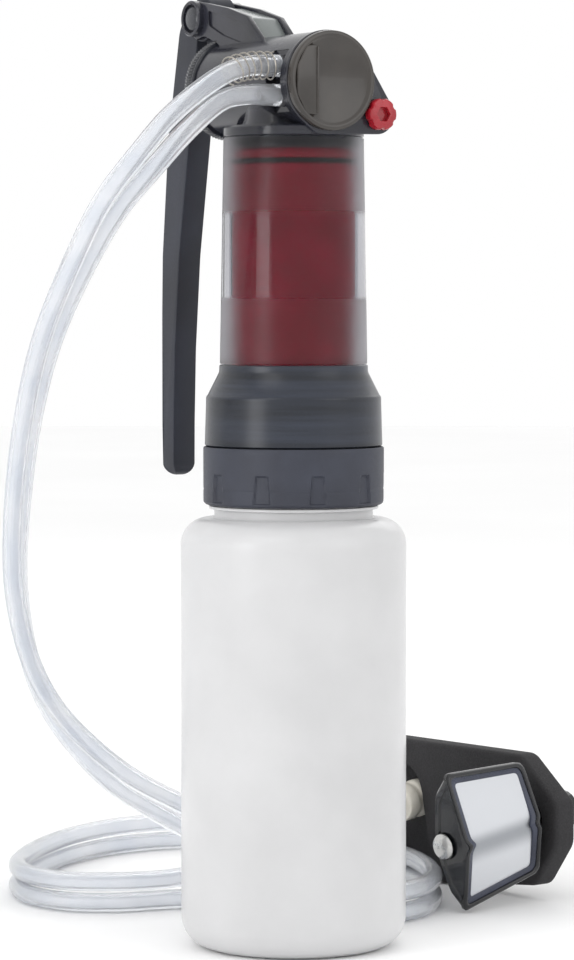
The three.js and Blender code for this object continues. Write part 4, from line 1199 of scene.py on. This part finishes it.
# On the floor the intake hose lies on the purge hose.
FLOOR_PAIR = [
    (13, 51, 12.5), (29, 46.5, 9), (43, 49.5, 8.6), (52, 60, 8.6), (57, 75, 8.6), (59, 93, 8.6),
    (58, 112, 8.6), (54, 132, 8.6), (47, 153, 8.6), (36, 184, 8.6), (20, 214, 8.6),
    (-4, 239, 8.6), (-31, 252, 8.6), (-58, 251, 8.6), (-81, 236, 8.6), (-98, 211, 8.6),
    (-109, 182, 8.6), (-116, 151, 8.6), (-118, 120, 8.6), (-111, 94, 8.6), (-94, 77, 8.6),
    (-73, 75, 8.6), (-52, 83, 8.6),
]
FRONT = Vector((0, -1, 0))

# The length of each hose. The intake route comes out a few per cent longer.
INTAKE_LENGTH = 1.10
PURGE_LENGTH = 1.05


def shared_stretch(share):
    """The stretch that both hoses share, as points for one of them: 1 intake, -1 purge."""
    middles = [Vector(row[:3]) for row in (*FALLING_PAIR, *FLOOR_PAIR)]
    points = []
    for n, middle in enumerate(middles):
        side = UP
        if n < len(FALLING_PAIR):
            along = (middles[n + 1] - middles[max(n - 1, 0)]).normalized()
            outward = along.cross(FRONT).normalized()
            front = outward.cross(along).normalized()
            angle = math.radians(FALLING_PAIR[n][3])
            side = outward * math.cos(angle) + front * math.sin(angle)
        points.append(middle + side * share * HOSE_SPACING / 2)
    return points


def placed(place, *points):
    return [(place @ (Vector(p) * MM)) / MM for p in points]


def intake_route(start):
    return [
        *placed(BARREL, (BARB_X, start, INTAKE_Z), (BARB_X, 31, INTAKE_Z - 0.6),
                (BARB_X - 1, 43, 340.5)),
        *shared_stretch(1), Vector((-30, 100, 14.5)), Vector((-8, 118, 18.6)),
        *placed(AXLE, (-3, INLET_Y, -1.6), (18, INLET_Y, -0.2), (43, INLET_Y, 0)),
    ]


def purge_route(start):
    return [
        *placed(BARREL, (BARB_X, start, PURGE_Z), (BARB_X, 31, PURGE_Z - 0.2),
                (BARB_X - 1, 42.5, 331.2)),
        *shared_stretch(-1), Vector((-31, 84, 4.3)), Vector((-8, 86, 4.3)),
    ]


def swelling(reach, more):
    """A hose's size, swelled over the barb for a share of its length at its start."""
    def size(share):
        return HOSE_RADIUS + more * (1 - step(share, 0, reach))
    return size


def hoses():
    start = BARB_FLANGE + 2.3
    spacing = 3
    swell_over, swell = 0.012, 0.35
    for name, node, route, length, far_end in (
            ("intake_tube", "intake_hose", intake_route(start), INTAKE_LENGTH, "object"),
            ("purge_tube", "purge_hose", purge_route(start), PURGE_LENGTH, "bare")):
        path = smooth_path(route, spacing)
        made = piece(name, "pump", "hose",
                     swept(path, swelling(swell_over, swell), 24, HOSE_BORE), replaces=[node])
        riding = [hose_spring()] if node == "intake_hose" else []
        metres = [point * MM for point in path]
        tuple(metres[0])


def hose_spring():
    """Open coils of wire over the first stretch of the intake hose."""
    coils = 6.5
    steps_per_coil = 28
    coil_radius, wire_radius = 5.3, 0.3
    start, end = 18.6, 40
    middle = smooth_path(intake_route(start), 0.5)
    frames = frames_along(middle)
    reach = [0.0]
    for one, two in zip(middle, middle[1:]):
        reach.append(reach[-1] + (two - one).length)
    count = round(coils * steps_per_coil)
    points = []
    for n in range(count + 1):
        at = (end - start) * n / count
        index = next(k for k, distance in enumerate(reach) if distance >= at)
        point, side, over = frames[index]
        share = 0 if index == 0 else (reach[index] - at) / (reach[index] - reach[index - 1])
        centre_point = point.lerp(frames[max(index - 1, 0)][0], share)
        angle = TURN * n / steps_per_coil
        outward = side * math.cos(angle) + over * math.sin(angle)
        points.append(centre_point + outward * coil_radius)
    return piece("guard_spring", "pump", "steel", swept(points, wire_radius, 8),
                 replaces=["hose_spring"], material=SPRING_STEEL)


# ---------------- pieces inside

def inner_pieces():
    """The nodes that keep their shape take the finish of their material slot."""
    shown_slots = {
        "bottle_gasket": "seal", "housing_seal_lower": "seal", "housing_seal_upper": "seal",
        "cartridge_seal_top": "seal", "cartridge_seal_bottom": "seal", "fibre_bundle": "fibre",
        "piston": "white_parts", "piston_seal": "seal", "piston_rod": "lever",
        "rod_pin": "steel", "pivot_clip": "steel", "cover_seal": "seal",
        "valve_block": "white_parts", "inlet_valve": "seal", "outlet_valve": "seal",
        "relief_seal": "seal", "relief_spring": "steel", "relief_plunger": "white_parts",
        "strainer_bush": "white_parts", "strainer_manifold": "strainer",
    }
    for name, slot in shown_slots.items():
        node = frame["nodes"][name]
        node.data.materials.clear()
        node.data.materials.append(MATERIALS[slot])
        node.data.set_sharp_from_angle(angle=math.radians(30))


# ---------------- studio

def soft_light(name, where, width, height, watts):
    lamp = bpy.data.lights.new(name, "AREA")
    lamp.shape = "RECTANGLE"
    lamp.size = width
    lamp.size_y = height
    lamp.energy = watts
    made = bpy.data.objects.new(name, lamp)
    made.location = where
    target = Vector((0, 0, 0.18))
    made.rotation_euler = (target - Vector(where)).to_track_quat("-Z", "Y").to_euler()
    bpy.context.scene.collection.objects.link(made)


def floor():
    bm = bmesh.new()
    bmesh.ops.create_grid(bm, x_segments=1, y_segments=1, size=6)
    mesh = bpy.data.meshes.new("floor")
    bm.to_mesh(mesh)
    bm.free()
    finish = Surface("floor", (0.7, 0.8), patch=2, bump=0.01)
    mesh.materials.append(finish.coloured("fbfbfb", "fefefe"))
    made = bpy.data.objects.new("floor", mesh)
    bpy.context.scene.collection.objects.link(made)


def studio():
    scene = bpy.context.scene
    scene.view_settings.view_transform = "Standard"
    world = bpy.data.worlds.new("studio")
    world.use_nodes = True
    background = world.node_tree.nodes["Background"]
    background.inputs["Color"].default_value = (1, 1, 1, 1)
    background.inputs["Strength"].default_value = 1.0
    scene.world = world
    soft_light("key", (-1.0, -1.2, 1.5), 0.9, 0.9, 3.6)
    soft_light("side", (-0.66, -0.56, 0.34), 0.34, 0.4, 1.4)
    soft_light("fill", (1.4, -0.9, 0.9), 1.1, 1.1, 3)
    soft_light("back", (0.5, 1.5, 1.3), 1.2, 1.2, 4)


def camera():
    """At the height of the pump, 1.45 m in front of the bottle's middle."""
    lens = bpy.data.cameras.new("camera")
    lens.sensor_width = 36
    lens.lens = 137.8
    made = bpy.data.objects.new("camera", lens)
    made.location = (-0.0026, -1.447, 0.255)
    down = math.radians(2.8)
    made.rotation_euler = (math.pi / 2 - down, 0, 0)
    bpy.context.scene.collection.objects.link(made)
    bpy.context.scene.camera = made


# ---------------- the whole

bottle()
bottle_ring()
outlet_base()
cartridge_housing()
cartridge()
head_barrel()
pivot_arms()
rear_nut()
lever()
pivot_pin()
valve_cover()
relief_knob()
barb("intake_spout", "intake_barb", INTAKE_Z)
barb("purge_spout", "purge_barb", PURGE_Z)
strainer_box()
strainer_rim()
front_mesh()
strainer_axle()
strainer_inlet()
strainer_float()
hoses()
inner_pieces()
floor()
studio()
camera()
